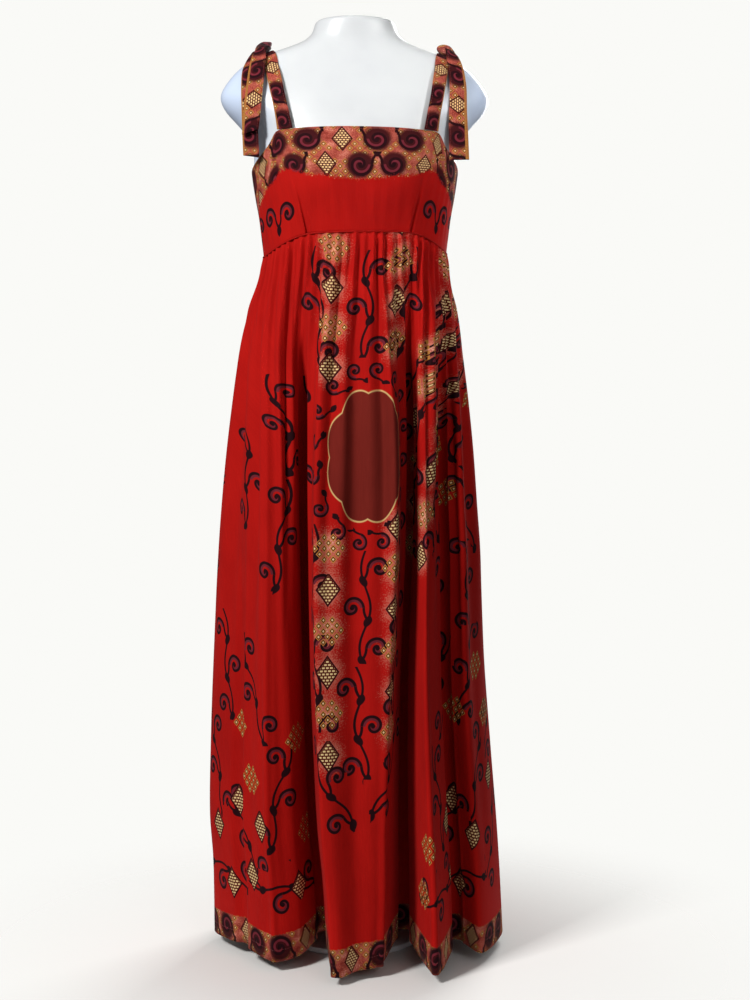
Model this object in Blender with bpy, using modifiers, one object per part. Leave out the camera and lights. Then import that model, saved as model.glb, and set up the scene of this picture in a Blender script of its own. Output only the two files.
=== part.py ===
"""Maxi dress with an empire waist and knotted shoulder ties, filled out by a limbless dress form.

The front of the dress faces -Y, and left and right are the wearer's, so left is at +X.
"""

from math import cos, exp, pi, radians, sin

import bmesh
import bpy
from mathutils import Matrix, Vector

# Cloth and seams
CLOTH = 0.0012
TIE_CLOTH = 0.0016
SEAM_GAP = 0.0003

# Waist seam: highest at the centre front, lower at the sides
WAIST_FRONT = 1.028
WAIST_SIDE = 1.005
WAIST_BACK = 1.012
WAIST_TILT = 0.003
WAIST_LEVEL_TO = radians(26)
WAIST_DROPS_TO = radians(80)

# Outside of the bodice: height, half width, depth to the front, depth to the back
BODICE_SECTIONS = (
    (1.000, 0.1335, 0.1115, 0.0860),
    (1.030, 0.1365, 0.1140, 0.0885),
    (1.060, 0.1405, 0.1180, 0.0915),
    (1.090, 0.1460, 0.1225, 0.0955),
    (1.125, 0.1512, 0.1240, 0.0988),
    (1.150, 0.1520, 0.1180, 0.0988),
    (1.180, 0.1515, 0.1100, 0.0960),
)

# Fullness of the two cups that the darts give
CUP_X = 0.070
CUP_Z = 1.100
CUP_REACH = 0.042
CUP_FULLNESS = 0.009
DART_DEPTH = 0.0022
DART_TOP = 0.46

# Top edge of the bodice: degrees round from the centre, height
FRONT_TOP_EDGE = (
    (0.0, 1.1760),
    (37.5, 1.1760),
    (50.2, 1.1740),
    (56.0, 1.1580),
    (63.0, 1.1465),
    (75.0, 1.1345),
    (90.0, 1.1250),
)
BACK_TOP_EDGE = (
    (0.0, 1.1480),
    (50.0, 1.1480),
    (57.0, 1.1440),
    (68.0, 1.1345),
    (90.0, 1.1250),
)

# Columns of the bodice front, in degrees round from the centre: at the waist, at the top edge
# The fifth to seventh columns run along the dart, and two columns end at the strap's corners
FRONT_COLUMNS = (
    (0.0, 0.0),
    (8.0, 9.0),
    (16.0, 18.5),
    (24.0, 28.0),
    (29.3, 37.5),
    (32.3, 42.5),
    (35.3, 46.5),
    (41.0, 50.2),
    (49.0, 56.0),
    (58.0, 63.0),
    (66.0, 71.0),
    (74.0, 78.0),
    (82.0, 84.0),
    (90.0, 90.0),
)
DART_COLUMN = 5
BACK_COLUMN_COUNT = 12
FRONT_ROW_COUNT = 8
BACK_ROW_COUNT = 6

# Outline of the skirt from the front: height, reach to the wearer's right, reach to the left
SKIRT_OUTLINE = (
    (0.012, 0.2060, 0.2170),
    (0.118, 0.2080, 0.2117),
    (0.188, 0.2130, 0.2070),
    (0.294, 0.2117, 0.1985),
    (0.400, 0.2087, 0.1911),
    (0.506, 0.2043, 0.1867),
    (0.577, 0.1999, 0.1838),
    (0.647, 0.1940, 0.1779),
    (0.718, 0.1867, 0.1720),
    (0.788, 0.1779, 0.1646),
    (0.859, 0.1676, 0.1558),
    (0.929, 0.1529, 0.1470),
    (1.000, 0.1382, 0.1323),
)

# Large folds of the skirt, from the wearer's right side round the front and then the back
# Across is a share of the half width, depth is in metres, and rise lifts the hem in a valley
# name, across and depth at knee height, across and depth at the hem, rise of the hem
FOLDS = (
    ("right side", -1.00, 0.000, -1.00, 0.000, 0.002),
    ("right dip", -0.80, -0.078, -0.78, -0.078, 0.006),
    ("right crest", -0.62, -0.132, -0.56, -0.136, 0.002),
    ("right slope", -0.45, -0.136, -0.38, -0.124, 0.006),
    ("right valley", -0.33, -0.108, -0.23, -0.082, 0.018),
    ("centre crest right", -0.22, -0.163, -0.150, -0.196, 0.000),
    ("centre dip", 0.05, -0.156, 0.00, -0.178, 0.002),
    ("centre crest left", 0.34, -0.160, 0.15, -0.158, 0.004),
    ("left valley", 0.45, -0.104, 0.30, -0.074, 0.018),
    ("narrow crest", 0.58, -0.142, 0.50, -0.188, 0.000),
    ("narrow valley", 0.73, -0.084, 0.67, -0.084, 0.010),
    ("left crest", 0.87, -0.080, 0.83, -0.102, 0.002),
    ("left side", 1.00, 0.000, 1.00, 0.000, 0.002),
    ("back left dip", 0.91, 0.050, 0.91, 0.048, 0.008),
    ("back left crest", 0.77, 0.098, 0.78, 0.112, 0.000),
    ("back left valley", 0.60, 0.080, 0.60, 0.076, 0.012),
    ("back left lobe", 0.42, 0.122, 0.42, 0.148, 0.000),
    ("back left fullness", 0.20, 0.130, 0.22, 0.162, 0.000),
    ("back centre valley", 0.00, 0.102, 0.00, 0.098, 0.014),
    ("back right fullness", -0.21, 0.130, -0.22, 0.158, 0.000),
    ("back right lobe", -0.43, 0.120, -0.43, 0.144, 0.000),
    ("back right valley", -0.61, 0.078, -0.60, 0.078, 0.012),
    ("back right crest", -0.78, 0.096, -0.78, 0.110, 0.000),
    ("back right dip", -0.91, 0.048, -0.91, 0.046, 0.008),
)
FOLD_KNEE = 0.650
FOLD_HEM = 0.010
HEM_HEIGHT = 0.012
FOLD_TURN = radians(-4)

# Gathers at the waist seam: three columns of the mesh to each fine one, six to each soft fold
COLUMNS_A_FOLD = 8
SEAM_COLUMN = 0.3
FINE_GATHER = 0.0030
SOFT_GATHER = 0.0050
SKIRT_ROWS = (0.0, 0.012, 0.04, 0.09, 0.16, 0.26, 0.38, 0.52, 0.66, 0.79, 0.90, 1.0)

# Skin of the dress form: height, half width, depth to the front, depth to the back
FORM_SECTIONS = (
    (0.700, 0.134, 0.078, 0.076),
    (0.712, 0.142, 0.086, 0.084),
    (0.780, 0.146, 0.088, 0.086),
    (0.860, 0.136, 0.088, 0.082),
    (0.930, 0.120, 0.086, 0.076),
    (1.004, 0.1295, 0.1065, 0.0815),
    (1.030, 0.1325, 0.1090, 0.0840),
    (1.060, 0.1365, 0.1130, 0.0870),
    (1.090, 0.1415, 0.1170, 0.0910),
    (1.125, 0.1470, 0.1180, 0.0945),
    (1.150, 0.1480, 0.1120, 0.0945),
    (1.165, 0.1500, 0.1050, 0.0940),
    (1.180, 0.1580, 0.0980, 0.0930),
    (1.205, 0.1775, 0.0880, 0.0890),
    (1.227, 0.1960, 0.0800, 0.0840),
    (1.232, 0.1970, 0.0780, 0.0820),
    (1.250, 0.1885, 0.0700, 0.0750),
    (1.270, 0.1740, 0.0620, 0.0650),
    (1.286, 0.1560, 0.0560, 0.0560),
    (1.298, 0.1310, 0.0510, 0.0510),
    (1.308, 0.1020, 0.0480, 0.0480),
    (1.318, 0.0780, 0.0465, 0.0480),
    (1.330, 0.0640, 0.0470, 0.0490),
    (1.344, 0.0590, 0.0475, 0.0500),
    (1.348, 0.0555, 0.0445, 0.0470),
)
FORM_COLUMN_COUNT = 36
FORM_CUP_FULLNESS = 0.008

# Stand inside the skirt
STAND_Y = 0.020
POLE_RADIUS = 0.0125
BASE_RADIUS = 0.095
BASE_THICKNESS = 0.008
COLLAR_RADIUS = 0.024
COLLAR_HEIGHT = 0.030

# Ribbons: x, y and z of the middle, width, turn of the width about Z, drop across the width
# Where a row would sink into the shoulder, the ribbon is laid on it instead
STRAP_FRONT = (
    (0.1040, -0.0805, 1.1765, 0.0262, 35, 0.00),
    (0.1080, -0.0770, 1.2000, 0.0232, 31, 0.00),
    (0.1140, -0.0690, 1.2290, 0.0215, 25, 0.04),
    (0.1200, -0.0540, 1.2600, 0.0210, 18, 0.15),
    (0.1255, -0.0320, 1.2860, 0.0205, 10, 0.32),
    (0.1290, -0.0120, 1.2980, 0.0180, 4, 0.45),
    (0.1300, -0.0002, 1.3000, 0.0170, 0, 0.48),
)
STRAP_BACK = (
    (0.1030, 0.0720, 1.1488, 0.0262, -31, 0.00),
    (0.1060, 0.0765, 1.1850, 0.0230, -28, 0.00),
    (0.1110, 0.0745, 1.2200, 0.0215, -24, 0.04),
    (0.1180, 0.0600, 1.2560, 0.0210, -16, 0.15),
    (0.1250, 0.0330, 1.2860, 0.0205, -8, 0.32),
    (0.1290, 0.0120, 1.2980, 0.0180, -3, 0.45),
    (0.1300, 0.0002, 1.3000, 0.0170, 0, 0.48),
)
# The wearer's left side, where one tail falls in front and the other behind
TAIL_LEFT_FRONT = (
    (0.1365, -0.0150, 1.3075, 0.0110, 4, 0.40),
    (0.1405, -0.0270, 1.2960, 0.0190, 8, 0.25),
    (0.1438, -0.0410, 1.2740, 0.0245, 14, 0.10),
    (0.1460, -0.0520, 1.2450, 0.0270, 20, 0.02),
    (0.1450, -0.0590, 1.2100, 0.0280, 16, 0.00),
    (0.1455, -0.0610, 1.1750, 0.0288, 8, 0.00),
    (0.1465, -0.0620, 1.1380, 0.0290, 2, -0.06),
)
TAIL_LEFT_BACK = (
    (0.1365, 0.0150, 1.3075, 0.0110, -4, 0.40),
    (0.1405, 0.0280, 1.2950, 0.0190, -8, 0.25),
    (0.1450, 0.0430, 1.2720, 0.0240, -14, 0.10),
    (0.1480, 0.0550, 1.2420, 0.0265, -20, 0.02),
    (0.1475, 0.0620, 1.2080, 0.0280, -16, 0.00),
    (0.1460, 0.0640, 1.1740, 0.0280, -12, 0.05),
)
# The wearer's right side, where both tails fall in front, one over the other
TAIL_RIGHT_FRONT = (
    (-0.1365, -0.0146, 1.3075, 0.0110, -4, -0.40),
    (-0.1400, -0.0290, 1.2960, 0.0190, -8, -0.25),
    (-0.1430, -0.0450, 1.2720, 0.0240, -14, -0.10),
    (-0.1465, -0.0570, 1.2420, 0.0255, -20, -0.02),
    (-0.1500, -0.0635, 1.2080, 0.0255, -16, 0.00),
    (-0.1530, -0.0655, 1.1740, 0.0250, -12, -0.30),
)
TAIL_RIGHT_BACK = (
    (-0.1475, -0.0050, 1.3015, 0.0090, -50, -0.20),
    (-0.1530, -0.0190, 1.2880, 0.0150, -40, -0.30),
    (-0.1560, -0.0340, 1.2690, 0.0200, -30, -0.10),
    (-0.1560, -0.0470, 1.2420, 0.0225, -26, 0.00),
    (-0.1545, -0.0550, 1.2080, 0.0235, -22, 0.00),
    (-0.1530, -0.0580, 1.1740, 0.0240, -20, 0.00),
    (-0.1515, -0.0590, 1.1400, 0.0240, -16, 0.16),
)
RIBBON_COLUMNS = 3
RIBBON_ROWS_A_STRETCH = 3
RIBBON_BOW = 0.0016
SHOULDER_TOP = 1.275
LIFT_STEP = 0.0001
LAID_GAP = 0.0007

# Knots on top of the shoulders
KNOT_CENTRE = (0.1345, 0.0, 1.3087)
KNOT_SIZE = (0.0270, 0.0290, 0.0160)
KNOT_TILT = radians(26)
KNOT_LOBES = 3
KNOT_CREASE = 0.10

# Zip in the centre back: slider with an arch, and the pull tab that hangs from it
SLIDER_SIZE = (0.0060, 0.0024, 0.0090)
SLIDER_BELOW_EDGE = 0.007
ARCH_HALF_HEIGHT = 0.0030
ARCH_REACH = 0.0036
ARCH_WIRE = 0.0006
PULL_SIZE = (0.0052, 0.0010, 0.0220)
PULL_HOLE = (0.0026, 0.0057)
PULL_BAR = 0.0012
PULL_PIVOT_OUT = 0.0013
PULL_PIVOT_DOWN = 0.0012

# Finishes: colour, roughness, metallic
RED_COTTON = ((0.42, 0.012, 0.012), 0.85, 0.0)
PALE_PLASTIC = ((0.62, 0.70, 0.80), 0.35, 0.0)
DARK_STEEL = ((0.16, 0.16, 0.17), 0.40, 1.0)
ZIP_METAL = ((0.30, 0.05, 0.04), 0.35, 0.6)


def clear_scene():
    for scene_object in list(bpy.data.objects):
        bpy.data.objects.remove(scene_object, do_unlink=True)


def new_collection(name):
    collection = bpy.data.collections.new(name)
    bpy.context.scene.collection.children.link(collection)
    return collection


def make_material(name, finish):
    colour, roughness, metallic = finish
    material = bpy.data.materials.new(name)
    material.use_nodes = True
    shader = material.node_tree.nodes["Principled BSDF"]
    shader.inputs["Base Color"].default_value = (*colour, 1.0)
    shader.inputs["Roughness"].default_value = roughness
    shader.inputs["Metallic"].default_value = metallic
    return material


def smooth_step(low, high, value):
    share = min(1.0, max(0.0, (value - low) / (high - low)))
    return share * share * (3.0 - 2.0 * share)


def smooth_lookup(table, key):
    """Smoothly interpolates a table whose first column rises, and returns the other columns."""
    keys = [row[0] for row in table]
    key = min(keys[-1], max(keys[0], key))
    index = max(i for i in range(len(keys) - 1) if keys[i] <= key)
    span = keys[index + 1] - keys[index]
    share = (key - keys[index]) / span
    values = []
    for column in range(1, len(table[0])):
        slopes = []
        for end in (index, index + 1):
            before = max(end - 1, 0)
            after = min(end + 1, len(table) - 1)
            slopes.append((table[after][column] - table[before][column]) / (keys[after] - keys[before]))
        start = table[index][column]
        finish = table[index + 1][column]
        values.append(
            start * (1 + 2 * share) * (1 - share) ** 2
            + finish * share ** 2 * (3 - 2 * share)
            + slopes[0] * span * share * (1 - share) ** 2
            - slopes[1] * span * share ** 2 * (1 - share)
        )
    return values


def loop_value(values, place):
    """Catmull-Rom interpolation round a closed list."""
    count = len(values)
    index = int(place // 1)
    share = place - index
    a, b, c, d = (values[(index + step) % count] for step in (-1, 0, 1, 2))
    return 0.5 * (
        2 * b
        + (c - a) * share
        + (2 * a - 5 * b + 4 * c - d) * share ** 2
        + (3 * b - a - 3 * c + d) * share ** 3
    )


def cup_fullness(x, z, fullness):
    reach = ((abs(x) - CUP_X) ** 2 + (z - CUP_Z) ** 2) / CUP_REACH ** 2
    return fullness * exp(-reach)


def waist_height(angle):
    """Height of the waist seam at an angle from the centre front."""
    front = cos(angle) > 0
    turn = abs((angle + pi) % (2 * pi) - pi)
    if front:
        drop = smooth_step(WAIST_LEVEL_TO, WAIST_DROPS_TO, turn)
        height = WAIST_FRONT + (WAIST_SIDE - WAIST_FRONT) * drop
    else:
        height = WAIST_SIDE + (WAIST_BACK - WAIST_SIDE) * smooth_step(pi / 2, pi, turn)
    return height + WAIST_TILT * sin(angle)


def bodice_point(angle, z):
    half_width, front_depth, back_depth = smooth_lookup(BODICE_SECTIONS, z)
    x = half_width * sin(angle)
    if cos(angle) < 0:
        return Vector((x, -back_depth * cos(angle), z))
    y = -front_depth * cos(angle) - cup_fullness(x, z, CUP_FULLNESS) * cos(angle)
    return Vector((x, y, z))


def sheet_mesh(name, rows):
    """A mesh of quads through rows of points, which run round while the rows go down."""
    shell = bmesh.new()
    grid = [[shell.verts.new(point) for point in row] for row in rows]
    for upper, lower in zip(grid, grid[1:]):
        for column in range(len(upper) - 1):
            shell.faces.new((upper[column], lower[column], lower[column + 1], upper[column + 1]))
    mesh = bpy.data.meshes.new(name)
    shell.to_mesh(mesh)
    shell.free()
    mesh.shade_smooth()
    return mesh


def make_object(name, mesh, finish, collection):
    scene_object = bpy.data.objects.new(name, mesh)
    scene_object.data.materials.append(make_material(name, finish))
    collection.objects.link(scene_object)
    return scene_object


def cloth_panel(name, rows, thickness, offset, finish, collection):
    panel = make_object(name, sheet_mesh(name, rows), finish, collection)
    wall = panel.modifiers.new("Cloth", "SOLIDIFY")
    wall.thickness = thickness
    wall.offset = offset
    return panel


def open_seams(rows):
    """Draws the first and last column in by half a seam's gap."""
    for row in rows:
        inward = (row[1] - row[0]).normalized()
        row[0] += inward * SEAM_GAP / 2
        inward = (row[-2] - row[-1]).normalized()
        row[-1] += inward * SEAM_GAP / 2
    return rows


def bodice_rows(columns, edge_table, row_count, centre, dart_column=None):
    """Rows from the top edge down; a column is its angle at the waist and at the top, signed."""
    rows = []
    for row in range(row_count + 1):
        share = 1.0 - row / row_count
        points = []
        for waist_degrees, top_degrees in columns:
            top_angle = centre + radians(top_degrees)
            waist_angle = centre + radians(waist_degrees)
            top = smooth_lookup(edge_table, abs(top_degrees))[0]
            bottom = waist_height(waist_angle) + SEAM_GAP / 2
            angle = waist_angle + (top_angle - waist_angle) * share
            point = bodice_point(angle, bottom + (top - bottom) * share)
            if dart_column and abs(waist_degrees) == FRONT_COLUMNS[dart_column][0]:
                point.y += DART_DEPTH * max(0.0, 1.0 - share / DART_TOP)
            points.append(point)
        rows.append(points)
    return rows


def build_bodice(finish, collection):
    right_half = [(-waist, -top) for waist, top in reversed(FRONT_COLUMNS[1:])]
    columns = right_half + list(FRONT_COLUMNS)
    rows = bodice_rows(columns, FRONT_TOP_EDGE, FRONT_ROW_COUNT, 0.0, DART_COLUMN)
    cloth_panel("bodice_front", open_seams(rows), CLOTH, -1.0, finish, collection)

    step = 90.0 / BACK_COLUMN_COUNT
    halves = (("bodice_back_left", -90.0), ("bodice_back_right", 0.0))
    for name, first in halves:
        turns = [first + step * index for index in range(BACK_COLUMN_COUNT + 1)]
        rows = bodice_rows([(turn, turn) for turn in turns], BACK_TOP_EDGE, BACK_ROW_COUNT, pi)
        cloth_panel(name, open_seams(rows), CLOTH, -1.0, finish, collection)


def skirt_base(place, share):
    """A point of the skirt's large form: place counts the folds round, share runs down."""
    angle = -pi / 2 + place * 2 * pi / len(FOLDS)
    waist = bodice_point(angle, waist_height(angle))
    waist.z -= SEAM_GAP / 2
    rise = loop_value([fold[5] for fold in FOLDS], place)
    z = waist.z + (HEM_HEIGHT + max(0.0, rise) - waist.z) * share

    right, left = smooth_lookup(SKIRT_OUTLINE, z)
    half_width = (right + left) / 2
    middle = (left - right) / 2
    keys = []
    for height, column in ((FOLD_HEM, 3), (FOLD_KNEE, 1)):
        across = loop_value([fold[column] for fold in FOLDS], place)
        depth = loop_value([fold[column + 1] for fold in FOLDS], place)
        turned = Matrix.Rotation(FOLD_TURN, 2) @ Vector((across * half_width, depth))
        keys.append((height, turned.x, turned.y))
    waist_width = smooth_lookup(BODICE_SECTIONS, waist.z)[0]
    keys.append((waist.z, waist.x * half_width / waist_width, waist.y))
    x, y = smooth_lookup(keys, z)
    hang = smooth_step(0.0, 0.08, share)
    x = (x + middle) * hang + waist.x * (1 - hang)
    return Vector((x, y, z))


def gather_depth(column, share):
    """How far a column of the mesh stands out in the gathers, which fade down the skirt."""
    fine = FINE_GATHER * smooth_step(-0.012, 0.02, share) * (1 - smooth_step(0.03, 0.15, share))
    soft = SOFT_GATHER * smooth_step(0.0, 0.13, share) * (1 - smooth_step(0.25, 0.70, share))
    unevenness = 0.75 + 0.25 * sin(column * 0.61)
    return -fine * cos(column * 2 * pi / 3) - soft * unevenness * cos(column * 2 * pi / 6)


def skirt_rows(first_fold, last_fold):
    """Rows of a panel; a narrow column at each seam keeps the wall square to its neighbour."""
    first = first_fold * COLUMNS_A_FOLD
    last = last_fold * COLUMNS_A_FOLD
    columns = [first, first + SEAM_COLUMN, *range(first + 1, last), last - SEAM_COLUMN, last]
    rows = []
    for share in SKIRT_ROWS:
        points = []
        for column in columns:
            place = column / COLUMNS_A_FOLD
            point = skirt_base(place, share)
            along = skirt_base(place + 0.1, share) - skirt_base(place - 0.1, share)
            outward = Vector((along.y, -along.x, 0.0)).normalized()
            points.append(point + outward * gather_depth(column, share))
        rows.append(points)
    return rows


def build_skirt(finish, collection):
    panels = (("skirt_front", 0, 12), ("skirt_back_left", 12, 18), ("skirt_back_right", 18, 24))
    for name, first_fold, last_fold in panels:
        rows = open_seams(skirt_rows(first_fold, last_fold))
        cloth_panel(name, rows, CLOTH, -1.0, finish, collection)


def form_radii(z, clearance):
    half_width, front_depth, back_depth = smooth_lookup(FORM_SECTIONS, z)
    return half_width + clearance, front_depth + clearance, back_depth + clearance


def inside_form(x, y, z, clearance):
    half_width, front_depth, back_depth = form_radii(z, clearance)
    depth = front_depth if y < 0 else back_depth
    return (x / half_width) ** 2 + (y / depth) ** 2 < 1


def laid_on_form(point):
    """Moves a ribbon's point out of the form: up on the shoulder's top, out on its front and back."""
    clearance = TIE_CLOTH / 2 + LAID_GAP
    if point.z < SHOULDER_TOP:
        if not inside_form(point.x, point.y, point.z, clearance):
            return point
        half_width, front_depth, back_depth = form_radii(point.z, clearance)
        reach = (1 - (point.x / half_width) ** 2) ** 0.5
        point.y = -front_depth * reach if point.y < 0 else back_depth * reach
        return point
    while inside_form(point.x, point.y, point.z - clearance, clearance / 2):
        point.z += LIFT_STEP
    return point


def ribbon_rows(route):
    """Points across a flat ribbon, for close rows along its route."""
    keyed = [(float(index), *row) for index, row in enumerate(route)]
    row_count = (len(route) - 1) * RIBBON_ROWS_A_STRETCH
    rows = []
    for row in range(row_count + 1):
        x, y, z, width, turn, drop = smooth_lookup(keyed, row / RIBBON_ROWS_A_STRETCH)
        across = Vector((cos(radians(turn)), sin(radians(turn)), -drop)).normalized()
        outward = Vector((sin(radians(turn)), -cos(radians(turn)), 0.0))
        points = []
        for column in range(RIBBON_COLUMNS + 1):
            share = 2.0 * column / RIBBON_COLUMNS - 1.0
            bow = outward * RIBBON_BOW * (1 - share * share) * (1 if y < 0 else -1)
            points.append(laid_on_form(Vector((x, y, z)) + across * width / 2 * share + bow))
        rows.append(points)
    return rows


def mirrored(route):
    return [(-x, y, z, width, -turn, -drop) for x, y, z, width, turn, drop in route]


def build_ties(finish, collection):
    ribbons = (
        ("strap_front_left", STRAP_FRONT),
        ("strap_front_right", mirrored(STRAP_FRONT)),
        ("strap_back_left", STRAP_BACK),
        ("strap_back_right", mirrored(STRAP_BACK)),
        ("tail_front_left", TAIL_LEFT_FRONT),
        ("tail_back_left", TAIL_LEFT_BACK),
        ("tail_front_right", TAIL_RIGHT_FRONT),
        ("tail_back_right", TAIL_RIGHT_BACK),
    )
    for name, route in ribbons:
        cloth_panel(name, ribbon_rows(route), TIE_CLOTH, 0.0, finish, collection)


def build_knots(finish, collection):
    """A knot is a ball with creases round it where the ties cross, flattened on the shoulder."""
    for name, side in (("knot_left", 1), ("knot_right", -1)):
        knot = bmesh.new()
        bmesh.ops.create_uvsphere(knot, u_segments=20, v_segments=10, radius=0.5)
        for vertex in knot.verts:
            direction = vertex.co.normalized()
            turn = direction.to_2d().angle_signed(Vector((1, 0)), 0.0)
            crease = KNOT_CREASE * cos(KNOT_LOBES * turn + 4.0 * direction.z) * (1 - direction.z ** 2)
            vertex.co *= 1 + crease
        tilt = Matrix.Rotation(KNOT_TILT * side, 4, "Y")
        knot.transform(tilt @ Matrix.Diagonal((*KNOT_SIZE, 1.0)))
        mesh = bpy.data.meshes.new(name)
        knot.to_mesh(mesh)
        knot.free()
        mesh.shade_smooth()
        knot_object = make_object(name, mesh, finish, collection)
        knot_object.location = (side * KNOT_CENTRE[0], KNOT_CENTRE[1], KNOT_CENTRE[2])


def build_form(finish, collection):
    """The torso is a loft through unlike sections, with flat ends at the neck and the hips."""
    form = bmesh.new()
    rings = []
    for z, half_width, front_depth, back_depth in FORM_SECTIONS:
        ring = []
        for column in range(FORM_COLUMN_COUNT):
            angle = column * 2 * pi / FORM_COLUMN_COUNT
            x = half_width * sin(angle)
            y = -cos(angle) * (front_depth if cos(angle) > 0 else back_depth)
            if cos(angle) > 0:
                y -= cup_fullness(x, z, FORM_CUP_FULLNESS) * cos(angle)
            ring.append(form.verts.new((x, y, z)))
        rings.append(ring)
    for lower, upper in zip(rings, rings[1:]):
        for column in range(FORM_COLUMN_COUNT):
            after = (column + 1) % FORM_COLUMN_COUNT
            form.faces.new((lower[column], lower[after], upper[after], upper[column]))
    form.faces.new(list(reversed(rings[0])))
    form.faces.new(rings[-1])
    mesh = bpy.data.meshes.new("form_torso")
    form.to_mesh(mesh)
    form.free()
    mesh.shade_smooth()
    mesh.set_sharp_from_angle(angle=radians(50))
    make_object("form_torso", mesh, finish, collection)


def add_cylinder(name, radius, bottom, top, finish, collection):
    bpy.ops.mesh.primitive_cylinder_add(
        vertices=48, radius=radius, depth=top - bottom, location=(0, STAND_Y, (top + bottom) / 2)
    )
    cylinder = bpy.context.object
    cylinder.name = name
    cylinder.data.materials.append(make_material(name, finish))
    cylinder.data.shade_smooth()
    cylinder.data.set_sharp_from_angle(angle=radians(40))
    for owner in list(cylinder.users_collection):
        owner.objects.unlink(cylinder)
    collection.objects.link(cylinder)
    return cylinder


def build_stand(finish, collection):
    base = add_cylinder("stand_base", BASE_RADIUS, 0.0, BASE_THICKNESS, finish, collection)
    rounding = base.modifiers.new("Rounded rim", "BEVEL")
    rounding.width = 0.002
    rounding.segments = 2
    rounding.limit_method = "ANGLE"
    pole_top = FORM_SECTIONS[0][0] - SEAM_GAP
    collar_top = BASE_THICKNESS + SEAM_GAP + COLLAR_HEIGHT
    add_cylinder("stand_collar", COLLAR_RADIUS, BASE_THICKNESS + SEAM_GAP, collar_top, finish, collection)
    add_cylinder("stand_pole", POLE_RADIUS, collar_top + SEAM_GAP, pole_top, finish, collection)


def add_box(name, size, centre, collection):
    bpy.ops.mesh.primitive_cube_add(size=1.0, location=centre)
    box = bpy.context.object
    box.name = name
    box.data.transform(Matrix.Diagonal((*size, 1.0)))
    for owner in list(box.users_collection):
        owner.objects.unlink(box)
    collection.objects.link(box)
    return box


def boolean(target, tool, operation):
    change = target.modifiers.new(operation.title(), "BOOLEAN")
    change.operation = operation
    change.object = tool
    tool.hide_render = True
    tool.display_type = "WIRE"


def arch_wire(centre, face, collection):
    """The slider's arch, a bent wire whose ends stand in the slider."""
    curve = bpy.data.curves.new("zip arch", "CURVE")
    curve.dimensions = "3D"
    curve.bevel_depth = ARCH_WIRE
    curve.bevel_resolution = 2
    curve.use_fill_caps = True
    spline = curve.splines.new("POLY")
    steps = 12
    spline.points.add(steps)
    for index in range(steps + 1):
        angle = pi * index / steps
        out = face - SLIDER_SIZE[1] / 4 + (ARCH_REACH + SLIDER_SIZE[1] / 4) * sin(angle) ** 0.6
        spline.points[index].co = (centre.x, out, centre.z + ARCH_HALF_HEIGHT * cos(angle), 1.0)
    wire = bpy.data.objects.new("zip arch curve", curve)
    collection.objects.link(wire)
    bpy.context.view_layer.update()
    mesh = bpy.data.meshes.new_from_object(wire.evaluated_get(bpy.context.evaluated_depsgraph_get()))
    bpy.data.objects.remove(wire, do_unlink=True)
    weld = bmesh.new()
    weld.from_mesh(mesh)
    bmesh.ops.remove_doubles(weld, verts=weld.verts, dist=0.00001)
    weld.to_mesh(mesh)
    weld.free()
    arch = bpy.data.objects.new("zip arch", mesh)
    collection.objects.link(arch)
    return arch


def build_zip(finish, collection, cutters):
    edge = smooth_lookup(BACK_TOP_EDGE, 0.0)[0]
    cloth = bodice_point(pi, edge - SLIDER_BELOW_EDGE)
    centre = cloth + Vector((0.0, SLIDER_SIZE[1] / 2, 0.0))
    face = centre.y + SLIDER_SIZE[1] / 2

    slider = add_box("zip_slider", SLIDER_SIZE, centre, collection)
    slider.data.materials.append(make_material("zip_slider", finish))
    boolean(slider, arch_wire(centre, face, cutters), "UNION")

    pivot = Vector((centre.x, face + PULL_PIVOT_OUT, centre.z - PULL_PIVOT_DOWN))
    drop = PULL_SIZE[2] / 2 - PULL_BAR / 2
    pull = add_box("zip_pull", PULL_SIZE, pivot, collection)
    pull.data.transform(Matrix.Translation((0, 0, -drop)))
    pull.data.materials.append(make_material("zip_pull", finish))
    hole_width, hole_length = PULL_HOLE
    hole_centre = pivot + Vector((0.0, 0.0, -PULL_BAR / 2 - hole_length / 2))
    hole = add_box("pull hole", (hole_width, 4 * PULL_SIZE[1], hole_length), hole_centre, cutters)
    boolean(pull, hole, "DIFFERENCE")


def centre_on_origin(collection):
    """Moves all the pieces so that the middle of their box stands over the origin."""
    bpy.context.view_layer.update()
    graph = bpy.context.evaluated_depsgraph_get()
    corners = []
    for piece in collection.objects:
        shape = piece.evaluated_get(graph)
        corners += [shape.matrix_world @ Vector(corner) for corner in shape.bound_box]
    for axis in (0, 1):
        low = min(corner[axis] for corner in corners)
        high = max(corner[axis] for corner in corners)
        for piece in bpy.data.objects:
            piece.location[axis] -= (low + high) / 2


def main():
    clear_scene()
    dress = new_collection("maxi dress on a dress form")
    cutters = new_collection("cutters")
    build_bodice(RED_COTTON, dress)
    build_skirt(RED_COTTON, dress)
    build_ties(RED_COTTON, dress)
    build_knots(RED_COTTON, dress)
    build_form(PALE_PLASTIC, dress)
    build_stand(DARK_STEEL, dress)
    build_zip(ZIP_METAL, dress, cutters)
    centre_on_origin(dress)


main()
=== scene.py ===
from math import atan2, cos, degrees, exp, pi, radians, sin, tau

import bmesh
import bpy
from mathutils import Matrix, Vector


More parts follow.
